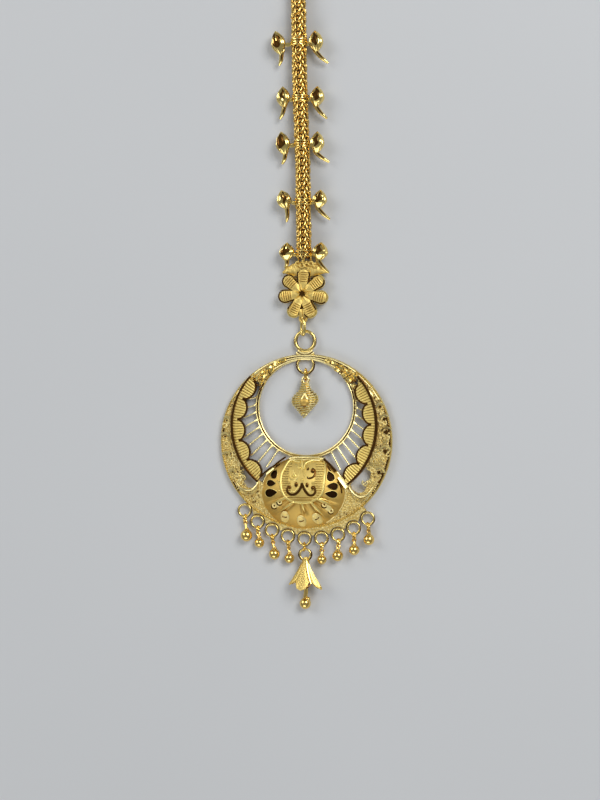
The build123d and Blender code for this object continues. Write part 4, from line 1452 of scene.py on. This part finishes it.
def coil_turn(step):
    """One turn of rope: an oval loop, a little askew, that swells once for each strand."""
    y = FIRST_COIL - COIL_PITCH * step
    half = drop_width(y)
    loop = []
    for t in full_turn(48):
        along = y + (0.1 + 0.012 * step) * math.cos(t) + 0.04 * math.sin(3 * t)
        loop.append(DROP_AXIS + Vector((half * math.cos(t), along, DROP_DEPTH * half * math.sin(t))))
    strands = round(2 * half / STRAND_PITCH)

    def strand_swell(v):
        return 1 + 0.17 * math.sin(2 * math.pi * strands * v)

    return wire(loop, 0.225, sides=6, closed=True, swell=strand_swell)


coil = bmesh.new()
for step in range(COILS):
    join(coil, coil_turn(step))
print(COILS, "turns of rope")

# %% Core, neck loop and grains of the drop
core_rows = [(y, max(0.1, half - 0.12)) for y, half in DROP_PROFILE]


def core_surface(u, v):
    """The hollow core: u runs round it, and v from its neck to its tip."""
    y, half = core_rows[round(v * (len(core_rows) - 1))]
    turn = 2 * math.pi * u
    return DROP_AXIS + Vector((half * math.cos(turn), y, DROP_DEPTH * half * math.sin(turn)))


core = welded(sheet(24, len(core_rows) - 1, core_surface))
# painted shade: the core's darker gold shows between the coils
finish(core, "centre_drop_core", deep, "polished_gold", "centre_drop")
join(coil, hoop(Vector((-0.02, 12.2, 1.3)), 0.6, 0.19, 24))
join(coil, ball(0.27), at((-0.66, 11.9, 1.6)), at((0.7, 12.1, 1.6)))
finish(coil, "centre_drop_coils", pale, "chased_gold", "centre_drop")

# %% Stud
STUD = Vector((0.1, 7.8, 3.15))
stud = bmesh.new()
join(stud, ball(0.92, fine=3, stretch=(1.05, 0.92, 0.5)), at(STUD))
finish(stud, "centre_drop_stud", matte, "chased_gold", "centre_drop")
facets = bmesh.new()
for sideways, thick in ((-0.5, 0.22), (0.62, 0.3)):
    line = [STUD + Vector((0.08, 1.75, -0.05)), STUD + Vector((sideways * 0.5, 1.1, 0.15)),
            STUD + Vector((sideways, 0.5, 0.18))]
    join(facets, wire(line, thick, swell=taper(0.45, 0.55)))
finish(facets, "centre_drop_facets", pale, "polished_gold", "centre_drop")
speck = bmesh.new()
join(speck, ball(0.27, stretch=(1.3, 0.9, 0.7)), at(STUD + Vector((0, -0.78, 0.1))))
finish(speck, "centre_drop_speck", painted_dark, "polished_gold", "centre_drop")

# %% [markdown]
# ## Ball drops
# Each of the eight drops is a hollow polished ball with a cap, a neck, an eye and a bail that
# stands through its ring. A ball is a sphere from the sphere operator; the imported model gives
# its place and size, so the drop cannot leave its node. Eyes and bails are turned a little
# differently on each, as loose links lie.

# %% Ball drops
BALL_DROPS = 8
EYE_RADIUS = 0.32
BAIL_RADIUS = 0.6


def box_mm(node_name):
    """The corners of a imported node's box, in millimetres from the crescent's centre."""
    return [corner / MM - Vector((0, centre_y, 0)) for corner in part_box(node_name)]


def ball_drop(number):
    """A ball drop: its ball, cap, a grain, the neck, the bail in its ring and the eye below."""
    low, high = box_mm("ball_drop_%d" % number)
    radius = (high.x - low.x) / 2
    middle = Vector(((low.x + high.x) / 2, low.y + radius, low.z + radius))
    drop = bmesh.new()
    join(drop, polished_ball(radius), at(middle, tip=90))
    cap = bmesh.new()
    bmesh.ops.create_cone(cap, cap_ends=True, segments=20, radius1=radius * 0.58, radius2=radius * 0.38,
                          depth=0.42)
    join(drop, cap, at(middle + Vector((0, radius * 0.93, 0)), tip=-90))
    join(drop, ball(0.24), at(middle + Vector((0.2, radius + 0.22, 0.12))))
    ring = RING_SPOTS[number - 1 if number <= RINGS_A_SIDE else number]
    bail = ring + Vector((0, -1.2, 0)) + Vector((0.12, -0.28, 0.25))
    eye = bail + Vector((0.3 * (middle.x - bail.x), -0.95, -0.05))
    neck = [middle + Vector((0, radius * 0.9, 0)), middle.lerp(eye, 0.72), eye - Vector((0, 0.3, 0))]
    join(drop, wire(neck, 0.3, sides=10, swell=taper(1, -0.25)))
    join(drop, hoop(ORIGIN, BAIL_RADIUS, 0.24, 24), at(bail, turn=(number * 37) % 30 - 15, roll=82))
    join(drop, hoop(ORIGIN, EYE_RADIUS, 0.18, 20), at(eye, roll=(number * 53) % 70 - 35))
    return drop


for number in range(1, BALL_DROPS + 1):
    node_name = "ball_drop_%d" % number
    finish(ball_drop(number), node_name + "_gold", ball_gold, "polished_gold", node_name)

# %% [markdown]
# ## Bell flower
# The bell is a blossom hanging head down: five petals flare from a neck, their tips pointed.
# The petals are bent sheets round one axis, so each is the same function with another
# direction, and Solidify's operator gives them their wall. The front petal is chased with
# scales and the side petals with ribs along them.

# %% The bell's shape
BELL_AXIS = 0.12
BELL_TOP = -23.4
BELL_LENGTH = 6.2
BELL_HEIGHT = 1.95


def bell_point(turn, along_share, length, lift=0.0):
    """A place on the bell's wall, by degrees round its axis from the top and share of its length."""
    flare = along_share * length
    wide = 0.42 + 3.35 * flare ** 1.55 + lift
    tall = 0.42 + 1.35 * flare ** 1.3 + lift
    angle = math.radians(turn)
    return Vector((BELL_AXIS + wide * math.sin(angle) - 0.25 * flare, BELL_TOP - BELL_LENGTH * flare,
                   BELL_HEIGHT + tall * math.cos(angle)))


def petal_half(along_share):
    """A petal's half width along it, as a share of its widest. It widens, then comes to a point."""
    if along_share >= 0.999:
        return 0.02
    widening = max(0.02, min(1.0, 0.45 + 0.75 * along_share))
    return widening * (1 - max(0.0, along_share - 0.66) / 0.34) ** 0.62


def petal_lift(off, along_share):
    """How far a petal's sheet bulges off the bell's wall."""
    return 0.28 * (1 - off * off) * min(1, 2 * along_share) - 0.12


print("bell", BELL_LENGTH, "mm long")

# %% Petals of the bell
# direction round the axis, half angle, length share, and how many chased ribs
BELL_PETALS = [(-6, 34, 1.0, 0), (-68, 33, 0.84, 4), (66, 31, 0.98, 4), (140, 34, 0.85, 3),
               (-140, 34, 0.82, 3)]
CHASING_LIFT = 0.2


def on_petal(petal, off, v, lift):
    """A place on a petal: off runs from -1 to 1 across it, and v from its foot to its tip."""
    turn, half, length, _ = petal
    return bell_point(turn + half * off * petal_half(v), v, length, lift)


bell = bmesh.new()
for turn, half, length, _ in BELL_PETALS:
    def petal_surface(u, v):
        """One petal's sheet."""
        off = (2 * u - 1) * petal_half(v)
        return bell_point(turn + half * off, v, length, petal_lift(off, v))

    join(bell, walled(sheet(12, 24, petal_surface), 0.2))
neck = [Vector((BELL_AXIS, BELL_TOP + rise, BELL_HEIGHT)) for rise in (0.35, 0, -0.6)]
join(bell, wire(neck, 0.55, sides=16, swell=taper(0.7, 0.5)))
finish(bell, "bell_petals", petal_gold, "chased_gold", "bell_flower", crease=50)

# %% Chased ribs and scales
SCALE_ROWS = 11
SCALE_PITCH = 0.36
bell_ribs = bmesh.new()
bell_shade = bmesh.new()
for petal in BELL_PETALS:
    ribs_wanted = petal[3]
    for edge in (-1, 1):
        line = [on_petal(petal, edge, i / 20, 0.05) for i in range(20)]
        join(bell_ribs, wire(line, 0.13, sides=6))
    for rib in range(ribs_wanted):
        off = (rib + 1) / (ribs_wanted + 1) * 2 - 1
        line = [on_petal(petal, off, i / 20, petal_lift(off, i / 20) + CHASING_LIFT) for i in range(3, 19)]
        join(bell_ribs, wire(line, 0.1, sides=5))
front_petal = BELL_PETALS[0]
for row in range(SCALE_ROWS):
    v = 0.28 + 0.062 * row
    for place in range(-2, 3):
        off = (place + 0.5 * (row % 2)) * SCALE_PITCH
        if abs(off) < 0.92:
            seat = at(on_petal(front_petal, off, v, petal_lift(off, v) + CHASING_LIFT))
            join(bell_ribs, wire(arc((0, 0), 0.24, 190, 350, 0, steps=6), 0.1, sides=5), seat)
            join(bell_shade, wire(arc((0, 0), 0.13, 190, 350, 0, steps=5), 0.06, sides=5), seat)
print(SCALE_ROWS, "rows of scales")

# %% The bell's ring and spine
BELL_RING = Vector((-0.05, -22.6, 1.35))
join(bell_ribs, hoop(BELL_RING, 1.08, 0.22, 36, sides=10))
darken_flanks(bell_shade, BELL_RING, 1.28, 0.06, ((110, 250), (-70, 60)), 0.15, swelling(0.15, 1.0, 0.6), 24)
spine = [bell_point(26 + 6 * (i / 13) ** 2, i / 14, 1.0, 0.3) for i in range(1, 12)]
join(bell_ribs, wire(spine, 0.26, swell=lambda v: 0.5 + 0.6 * math.sin(math.pi * (0.15 + 0.8 * v))))
shade_line = [bell_point(4 + 30 * i / 8, 0.93 - 0.012 * i * i / 4, 1.0, 0.02) for i in range(9)]
join(bell_shade, wire(shade_line, 0.12, sides=6))
finish(bell_shade, "bell_shadows", painted_dark, "chased_gold", "bell_flower")
finish(bell_ribs, "bell_chasing", bright, "chased_gold", "bell_flower")

# %% Clapper
low, high = box_mm("bell_clapper")
radius = (high.x - low.x) / 2
middle = Vector(((low.x + high.x) / 2 + 0.2, low.y + radius, low.z + radius))
stem = [middle + Vector((0, 0.9, 0)), Vector((0.1, -30.0, 1.4)), Vector((0.1, high.y, 1.6))]
clapper = bmesh.new()
join(clapper, polished_ball(radius), at(middle, tip=90))
join(clapper, ball(0.5, fine=3), at(middle + Vector((0.6, radius * 0.75, 0.35))))
join(clapper, wire(stem, 0.42, sides=10))
finish(clapper, "bell_clapper_gold", ball_gold, "polished_gold", "bell_clapper")

# %% [markdown]
# ## Flower
# A seven-petalled flower joins the chain to the crescent. Each petal is a stadium shape that
# narrows to the middle: the face is a sheet with ribs pressed across it, folded smooth near the
# star-shaped eye, and a thin darker line of painted shade lies between the ribs. A band of near
# black gold, painted shade, runs round most petals between the face and the pale back plate, so
# the outline reads as a dark line. One table says which stretches of band are dark.

# %% The flower's petals
FLOWER_CENTRE = (-0.51, 29.36)
FLOWER_TOP = 2.35
PETAL_FOOT = 1.85
# direction, length, and the stretches of dark band, from -1 (right foot) through 0 (tip) to 1
FLOWER_PETALS = [(86.5, 5.0, ((-0.98, -0.3), (0.3, 0.98))),
                 (36.5, 5.2, ((-0.95, -0.12), (0.25, 0.98))),
                 (-12, 5.15, ((-0.98, -0.18),)),
                 (-66.5, 5.15, ((-0.98, -0.22), (0.42, 0.98))),
                 (-117, 5.15, ((-0.98, -0.42), (0.42, 0.98))),
                 (-171.5, 4.84, ((-0.98, 0.98),)),
                 (138, 4.96, ((-0.98, 0.98),))]


def on_flower(direction, along, across, height):
    """A place on the flower, along a petal's direction and across it."""
    turn = Matrix.Rotation(math.radians(direction), 3, "Z")
    return turn @ Vector((along, across, 0)) + Vector((*FLOWER_CENTRE, height))


print("flower", len(FLOWER_PETALS), "petals")

# %% Petal outline
def petal_outline(direction, length, half, height, start=-1.0, stop=1.0, steps=36):
    """Places round a petal's edge, from its right foot (-1) round the tip (0) to its left foot (1)."""
    straight = 0.45
    path = []
    for i in range(steps + 1):
        share = start + (stop - start) * i / steps
        side = 1 if share > 0 else -1
        if abs(share) > straight:
            down = (abs(share) - straight) / (1 - straight)
            along = (length - half) + (PETAL_FOOT - length + half) * down
            across = half + (0.72 * half - half) * down
        else:
            bend = abs(share) / straight * math.pi / 2
            along = length - half + half * math.cos(bend)
            across = half * math.sin(bend)
        path.append(on_flower(direction, along, side * across, height))
    return path


def face_half(along, length, half):
    """A petal face's half width at a distance from the flower's centre."""
    if along > length - half:
        return half * math.sqrt(max(0.0, 1 - ((along - length + half) / half) ** 2))
    if along > PETAL_FOOT:
        share = (along - PETAL_FOOT) / (length - half - PETAL_FOOT)
        return half * (0.78 + 0.22 * share)
    return min(0.78 * half, 0.03 + 0.5 * along)


print("petal outline ready")

# %% One petal's face
PETAL_RIB_PITCH = 0.44
FACE_HALF = 1.06
FACE_BULGE = 0.16


def ramp(distance, length):
    """0 before a distance begins, 1 once it is as long as a length, and even between."""
    return min(1.0, max(0.0, distance / length))


def petal_face(direction, reach):
    """The sheet of one petal: bulged, ribbed across, and folded smooth near the eye."""
    def surface(u, v):
        along = 0.5 + (reach - 0.5) * v
        off = 2 * u - 1
        ribbed = ramp(along - 2.0, 0.3) * ramp(reach - 0.35 - along, 0.2)
        rib = 0.075 * ribbed * math.cos(2 * math.pi * along / PETAL_RIB_PITCH)
        lift = FACE_BULGE * (1 - off * off) + rib
        fold = 0.30 * ramp(1.9 - along, 1.4) * abs(off)
        return on_flower(direction, along, off * face_half(along, reach, FACE_HALF), FLOWER_TOP + lift - fold)
    return walled(sheet(10, 66, surface), 0.25)


print("ribs", PETAL_RIB_PITCH, "mm apart")

# %% Faces and their rib lines
PETAL_RIBS = 20
faces = bmesh.new()
rib_shade_lines = bmesh.new()
for direction, length, _ in FLOWER_PETALS:
    reach = length - 0.2
    join(faces, petal_face(direction, reach))
    for rib in range(PETAL_RIBS):
        along = (rib + 0.5) * PETAL_RIB_PITCH
        if 2.1 < along < reach - 0.35:
            wide = 0.86 * face_half(along, reach, FACE_HALF)
            line = [on_flower(direction, along, wide * off, FLOWER_TOP + FACE_BULGE * (1 - off * off) - 0.06)
                    for off in (-1, -0.5, 0, 0.5, 1)]
            join(rib_shade_lines, strip(line, 0.1, 0.06))
for direction in (40, 5, -28, 100):
    fold_line = [polar(FLOWER_CENTRE, reach, direction, FLOWER_TOP + 0.12) for reach in (0.75, 1.1, 1.5, 1.9)]
    join(faces, wire(fold_line, 0.14, swell=taper(1.2, -0.8)))
finish(faces, "flower_faces", petal_gold, "chased_gold", "flower", crease=50)
# painted shade: darker strips between the petals' ribs
finish(rib_shade_lines, "flower_rib_lines", deep, "chased_gold", "flower")

# %% Bands, back plate and eye
dark_bands = bmesh.new()
back = bmesh.new()
for direction, length, dark in FLOWER_PETALS:
    outline = from_above(petal_outline(direction, length, 1.32, 0))
    join(back, prism([FLOWER_CENTRE] + outline, 0.9, 1.95))
    join(back, wire(petal_outline(direction, length, 1.3, 1.95), 0.12, sides=6))
    for start, stop in dark:
        steps = max(6, round(18 * (stop - start)))
        line = petal_outline(direction, length - 0.06, 1.2, 1.9, start, stop, steps)
        join(dark_bands, strip(line, 0.34, 0.38))
for direction in (72, 2):
    join(dark_bands, strip([polar(FLOWER_CENTRE, reach, direction, 2.1) for reach in (1.9, 2.3)], 0.3, 0.25))
finish(back, "flower_back", satin, "chased_gold", "flower")
star = [polar(FLOWER_CENTRE, 0.68 if k % 2 else 0.46, 30 * k) for k in range(12)]
join(dark_bands, prism(from_above(star), 2.0, FLOWER_TOP + 0.22))
# painted shade: the flower's near black bands, short strips and star-shaped eye
finish(dark_bands, "flower_bands", painted_dark, "polished_gold", "flower")

# %% [markdown]
# ## Cap and loop of the flower
# Above the flower sits a fan-shaped cap with pressed folds, which covers the chain's end ring.
# It is a grid bent over a cone and wavy across, with small curls of wire on its edge. Below the
# flower two short stalks carry the loop, and an oval link hangs the crescent from it.

# %% Cap
CAP_ROOT = Vector((-0.1, 29.2, 0))
CAP_FLOOR = 3.7
# x, y and start in degrees of each curl on the cap
CAP_CURLS = [(-1.45, 35.3, 40), (-0.6, 34.9, 120), (0.35, 35.0, 0), (1.2, 35.3, 200), (-0.1, 35.7, 80),
             (2.1, 35.0, 60)]


def cap_surface(u, v):
    """The fan: u runs from its left wing to its right one, and v from its root outwards."""
    angle = math.radians(136 - 92 * u)
    wing = abs(2 * u - 1)
    inner = CAP_FLOOR + 2.4 * wing ** 3
    outer = 6.55 - 0.2 * wing ** 2
    reach = inner + (outer - inner) * v
    fold = 0.045 * math.cos(9 * math.pi * u * 2) * min(1, 2.2 * v + 0.1)
    height = 1.55 - 0.3 * wing ** 2 + 0.25 * math.sin(math.pi * v) + fold
    return CAP_ROOT + Vector((reach * math.cos(angle), reach * math.sin(angle), height))


cap = bmesh.new()
join(cap, walled(sheet(88, 10, cap_surface), 0.35))
join(cap, wire([cap_surface(i / 40, 1.0) for i in range(41)], 0.12, sides=6))
for x, y, start in CAP_CURLS:
    join(cap, wire(arc((x, y), 0.42, start, start + 300, 2.1, steps=12), 0.19, sides=7))
print(len(CAP_CURLS), "curls on the cap")

# %% Stalks, loop and oval link
join(cap, wire(smooth_path([(-0.55, 24.95, 1.55), (-0.62, 24.5, 1.9), (-0.5, 24.1, 1.55)], 4), 0.25))
join(cap, hoop(Vector((-0.45, 24.35, 1.5)), 0.68, 0.22, 32, sides=10))
for x, width in ((-0.82, 0.4), (-0.22, 0.3)):
    stalk = [Vector((x - 0.1, 26.2, 2.0)), Vector((x, 25.4, 2.05)), Vector((x, 24.8, 1.8))]
    join(cap, wire(stalk, width))
finish(cap, "flower_cap", petal_gold, "chased_gold", "flower")
oval = [Vector((-0.5 + 0.42 * math.cos(t), 22.75 + 1.6 * math.sin(t), 1.45 + 0.5 * math.cos(t)))
        for t in full_turn(40)]
link = wire(oval, 0.3, sides=10, closed=True, flat=0.9)
finish(link, "flower_link_gold", bright, "polished_gold", "flower_link")

# %% [markdown]
# ## Chain
# The chain is a woven rope. Six columns of links run along a core of near black gold, painted
# shade in the gaps between the links, every other column half a step further on. A link is a small
# pointed loop of wire whose point is raised, so that it rides over the next one, and the bead of
# the link beneath shows inside it, in a darker gold that is painted shade. One loop and one bead
# are made, and their copies are set round the core and along the chain's route, each a little
# turned and shifted, as the links of a woven chain settle.

# %% Route
ROUTE = [(-0.20, 36.3), (-0.45, 55.0), (-1.15, 74.0), (-1.50, 97.2)]
CHAIN_AXIS = 1.86
CHAIN_START, CHAIN_END = 36.6, 97.0
FIRST_LINK = 36.9
CHAIN_PITCH = 1.575
LINK_REACH = 1.14
# how far each column of links is turned round the core, and how far it is shifted along it
LINK_COLUMNS = [(0, 0.0), (60, 0.5), (-60, 0.5), (120, 0.0), (-120, 0.0), (180, 0.5)]


def route_x(y):
    """The chain's sideways place at a place along it."""
    for (x0, y0), (x1, y1) in zip(ROUTE, ROUTE[1:]):
        if y <= y1:
            return x0 + (x1 - x0) * (y - y0) / (y1 - y0)
    return ROUTE[-1][0]


link_places = []
for step in range(int((CHAIN_END - CHAIN_START) / CHAIN_PITCH)):
    for turn, shift in LINK_COLUMNS:
        there = FIRST_LINK + CHAIN_PITCH * (step + shift) + random.uniform(-0.1, 0.1)
        spin = Matrix.Rotation(math.radians(turn), 4, "Y") @ Matrix.Translation((0, 0, LINK_REACH))
        settle = Matrix.Rotation(math.radians(random.uniform(-24, 24)), 4, "Z")
        link_places.append(Matrix.Translation((route_x(there), there, CHAIN_AXIS)) @ spin @ settle)
print(len(link_places), "links")

# %% Links
half_link = [(0.0, -0.85, 0.24), (0.28, -0.5, 0.2), (0.5, -0.05, 0.1), (0.5, 0.4, -0.04), (0.26, 0.75, -0.16)]
link_path = half_link + [(-x, y, z) for x, y, z in half_link[:0:-1]]
chain_links = bmesh.new()
join(chain_links, wire([Vector(p) for p in link_path], 0.2, sides=6, closed=True), *link_places)
finish(chain_links, "chain_links", ball_gold, "woven_chain", "chain", crease=60)

chain_points = bmesh.new()
join(chain_points, ball(0.27, fine=1, stretch=(0.8, 1.25, 0.8)), *link_places)
join(chain_points, hoop(Vector((-1.50, 98.4, CHAIN_AXIS)), 0.9, 0.4, 32, sides=12))
# painted shade: the beads inside the links are a darker gold
finish(chain_points, "chain_points", deep, "woven_chain", "chain")

# %% Core
core = wire([Vector((x, y, CHAIN_AXIS)) for x, y in ROUTE], 0.98, sides=18)
# painted shade: the near black core shows between the links
finish(core, "chain_core", painted_dark, "woven_chain", "chain")

# %% [markdown]
# ## Leaf pairs
# Five pairs of buds stand on collars along the chain. A bud is a puffed pointed shape, pressed
# from thin sheet and highly polished, with folds running along it and a tail that curls out
# below. The body is one bent sheet with five flutes that turn a little round it, so its
# reflections break into streaks. Folds are swelling wires on its surface, and the hollow between
# them is painted shade: a thin panel of near black gold just proud of the skin. Every bud has its
# own row in a table, since no two are alike.

# %% Bud table
# pair, tip, foot, tail end, half width and hollow (from, to degrees), and then its folds
# (degrees, start, end, thickness)
BUDS = [
    (1, (-6.0, 81.7), (-4.85, 77.1), (-5.36, 74.98), 1.36, (62, 150),
     ((36, 0.12, 0.85, 0.3), (98, 0.1, 0.5, 0.11), (126, 0.15, 0.6, 0.1), (162, 0.15, 0.9, 0.16))),
    (1, (2.05, 81.6), (2.3, 77.4), (4.55, 75.2), 1.36, (70, 118),
     ((32, 0.15, 0.9, 0.26), (60, 0.55, 0.95, 0.2), (140, 0.15, 0.9, 0.22), (162, 0.2, 0.8, 0.14))),
    (2, (-4.5, 70.6), (-4.3, 66.5), (-5.2, 64.3), 1.3, (75, 110),
     ((30, 0.15, 0.85, 0.2), (92, 0.55, 0.98, 0.34), (140, 0.15, 0.9, 0.2), (166, 0.2, 0.8, 0.14))),
    (2, (2.55, 70.5), (2.3, 66.5), (4.34, 64.15), 1.36, (66, 122),
     ((34, 0.15, 0.7, 0.24), (58, 0.7, 0.97, 0.24), (142, 0.15, 0.85, 0.2), (164, 0.2, 0.8, 0.13))),
    (3, (-4.85, 61.6), (-4.1, 57.1), (-4.75, 55.3), 1.36, (62, 148),
     ((34, 0.1, 0.85, 0.32), (152, 0.15, 0.5, 0.14), (140, 0.62, 0.95, 0.2), (170, 0.2, 0.9, 0.14))),
    (3, (2.5, 61.5), (2.35, 57.3), (4.75, 55.5), 1.36, (74, 112),
     ((30, 0.2, 0.9, 0.2), (52, 0.15, 0.75, 0.3), (140, 0.25, 0.9, 0.3), (166, 0.2, 0.8, 0.14))),
    (4, (-4.8, 49.95), (-3.75, 46.3), (-3.85, 43.7), 1.36, (60, 100),
     ((34, 0.15, 0.85, 0.16), (84, 0.1, 0.45, 0.1), (112, 0.12, 0.5, 0.12), (152, 0.15, 0.9, 0.26),
      (168, 0.2, 0.8, 0.13))),
    (4, (3.2, 49.9), (2.7, 46.3), (4.9, 44.1), 1.36, (72, 120),
     ((30, 0.15, 0.9, 0.24), (60, 0.1, 0.5, 0.24), (142, 0.2, 0.9, 0.24), (110, 0.1, 0.4, 0.12))),
    (5, (-3.6, 39.5), (-3.75, 35.9), (-4.14, 34.5), 1.45, (66, 150),
     ((34, 0.12, 0.85, 0.24), (92, 0.08, 0.4, 0.14), (122, 0.12, 0.5, 0.18), (164, 0.15, 0.9, 0.15))),
    (5, (3.3, 39.5), (2.75, 35.9), (4.7, 33.5), 1.5, (76, 116),
     ((24, 0.25, 0.95, 0.16), (48, 0.1, 0.8, 0.4), (136, 0.2, 0.85, 0.26), (165, 0.2, 0.8, 0.14))),
]
BUD_HEIGHT = 2.05
print("buds", len(BUDS))

# %% A bud's skin
def bud_frame(tip, foot):
    """The bud's matrix, with Y running from its foot to its tip, and its length."""
    tip, foot = Vector((*tip, BUD_HEIGHT)), Vector((*foot, BUD_HEIGHT))
    along = tip - foot
    turn = math.degrees(math.atan2(along.y, along.x)) - 90
    return at(foot, turn=turn), along.length


def bud_point(half, long, degrees, v, lift=0.0):
    """A place on a bud's skin, v running from the tip to the foot."""
    belly = math.sin(math.pi * v) ** 0.9 + 0.34 * max(0.0, v - 0.55)
    angle = math.radians(degrees)
    flute = 1 + 0.09 * math.cos(5 * angle + 0.6 + 2.2 * v) + 0.03 * math.sin(13 * v)
    wide = (half * belly + 0.02) * flute + lift
    return Vector((wide * math.cos(angle), long * (1.02 - 1.04 * v), 0.8 * wide * math.sin(angle)))


def bud_hollow(half, long, hollow, wave):
    """The near black panel of painted shade between two folds, just proud of the skin, its edges a little
    wavy.
    """
    middle, spread = (hollow[0] + hollow[1]) / 2, (hollow[1] - hollow[0]) * 0.5

    def surface(u, v):
        reach = spread * (2 * u - 1) * math.sin(math.pi * (0.04 + 0.92 * v)) ** 0.7
        return bud_point(half, long, middle + reach + 9 * math.sin(11 * v + wave), 0.1 + 0.62 * v, 0.035)

    panel = sheet(12, 20, surface)
    bmesh.ops.solidify(panel, geom=panel.faces[:], thickness=0.03)
    return panel


def bud_fold(half, long, degrees, start, stop, thick):
    """A fold along the bud: a wire half sunk in its skin."""
    line = [bud_point(half, long, degrees, start + (stop - start) * i / 12, -0.3 * thick) for i in range(13)]
    return wire(line, thick, swell=swelling(0.25, 0.75))


print("bud makers ready")

# %% A bud's tail and stalk
def bud_tail(foot, tail, side):
    """The path of the tail that curls out below a bud."""
    foot_place = Vector((*foot, BUD_HEIGHT - 0.1))
    tail_end = Vector((*tail, BUD_HEIGHT - 0.75))
    sag = foot_place.lerp(tail_end, 0.5) + Vector((-0.22 * side, 0.0, 0.1))
    within = foot_place + Vector((-0.5 * side, 0.9, 0))
    bend = foot_place + Vector((-0.12 * side, 0.1, 0))
    return smooth_path([within, bend, sag, tail_end], 5)


def add_stalk(buds, tip, foot, y, side):
    """The stalk from the chain's collar to a bud, with a bead half way."""
    root = Vector((route_x(y) + 1.35 * side, y - 0.35, CHAIN_AXIS))
    hip = Vector((*foot, BUD_HEIGHT)).lerp(Vector((*tip, BUD_HEIGHT)), 0.42) - Vector((0.95 * side, 0, 0.1))
    join(buds, wire([root, root.lerp(hip, 0.5) + Vector((0, -0.1, 0.1)), hip], 0.36))
    join(buds, ball(0.42), at(root.lerp(hip, 0.5)))


def add_collar(buds, y):
    """A collar round the chain: three wraps and a row of beads."""
    x = route_x(y)
    for step in (-0.5, 0.0, 0.5):
        wrap = [Vector((x + 1.62 * math.cos(t), y + step, CHAIN_AXIS + 1.5 * math.sin(t)))
                for t in full_turn(32)]
        join(buds, wire(wrap, 0.16, sides=6, closed=True))
    for step in range(-2, 3):
        join(buds, ball(0.24, fine=1), at((x - 0.1, y + 0.52 * step, CHAIN_AXIS + 1.5)))


print("tail, stalk and collar makers ready")

# %% Leaf pairs
PAIR_PLACES = [79.4, 68.2, 59.2, 47.6, 37.3]


def tail_swell(v):
    """The swell of a tail: fullest before its middle and slender at its end."""
    return 0.55 + 0.9 * v - 1.1 * v * v


for pair, y in enumerate(PAIR_PLACES, 1):
    buds = bmesh.new()
    hollows = bmesh.new()
    for number, tip, foot, tail, half, hollow, folds in BUDS:
        if number != pair:
            continue
        place, long = bud_frame(tip, foot)
        join(buds, welded(sheet(48, 20, lambda u, v: bud_point(half, long, 360 * u, v))), place)
        join(hollows, bud_hollow(half, long, hollow, number), place)
        for fold in folds:
            join(buds, bud_fold(half, long, *fold), place)
        side = 1 if tip[0] > 0 else -1
        curl = bud_tail(foot, tail, side)
        join(buds, wire(curl, 0.62, sides=12, swell=tail_swell, flat=0.7))
        groove = [p + Vector((0.12, 0.1, 0.38 * (1 - 0.4 * i / len(curl)))) for i, p in enumerate(curl)][4:-3]
        join(hollows, wire(groove, 0.13, sides=6, swell=swelling(0.3, 1.0)))
        add_stalk(buds, tip, foot, y, side)
    add_collar(buds, y)
    node_name = "leaf_pair_%d" % pair
    finish(buds, node_name + "_gold", leaf_gold, "polished_gold", node_name)
    # painted shade: the near black hollows and the groove along each tail
    finish(hollows, node_name + "_hollows", painted_dark, "polished_gold", node_name)

# %% [markdown]
# ## Finish
# The hook, its ring and the small links are plain bent wire. The imported model already has their
# shape, so they are shown as they were packed and only need the polished gold.

# %% Finish
for cad in frame["nodes"].values():
    if not cad.hide_render:
        cad.data.materials.clear()
        cad.data.materials.append(polished)
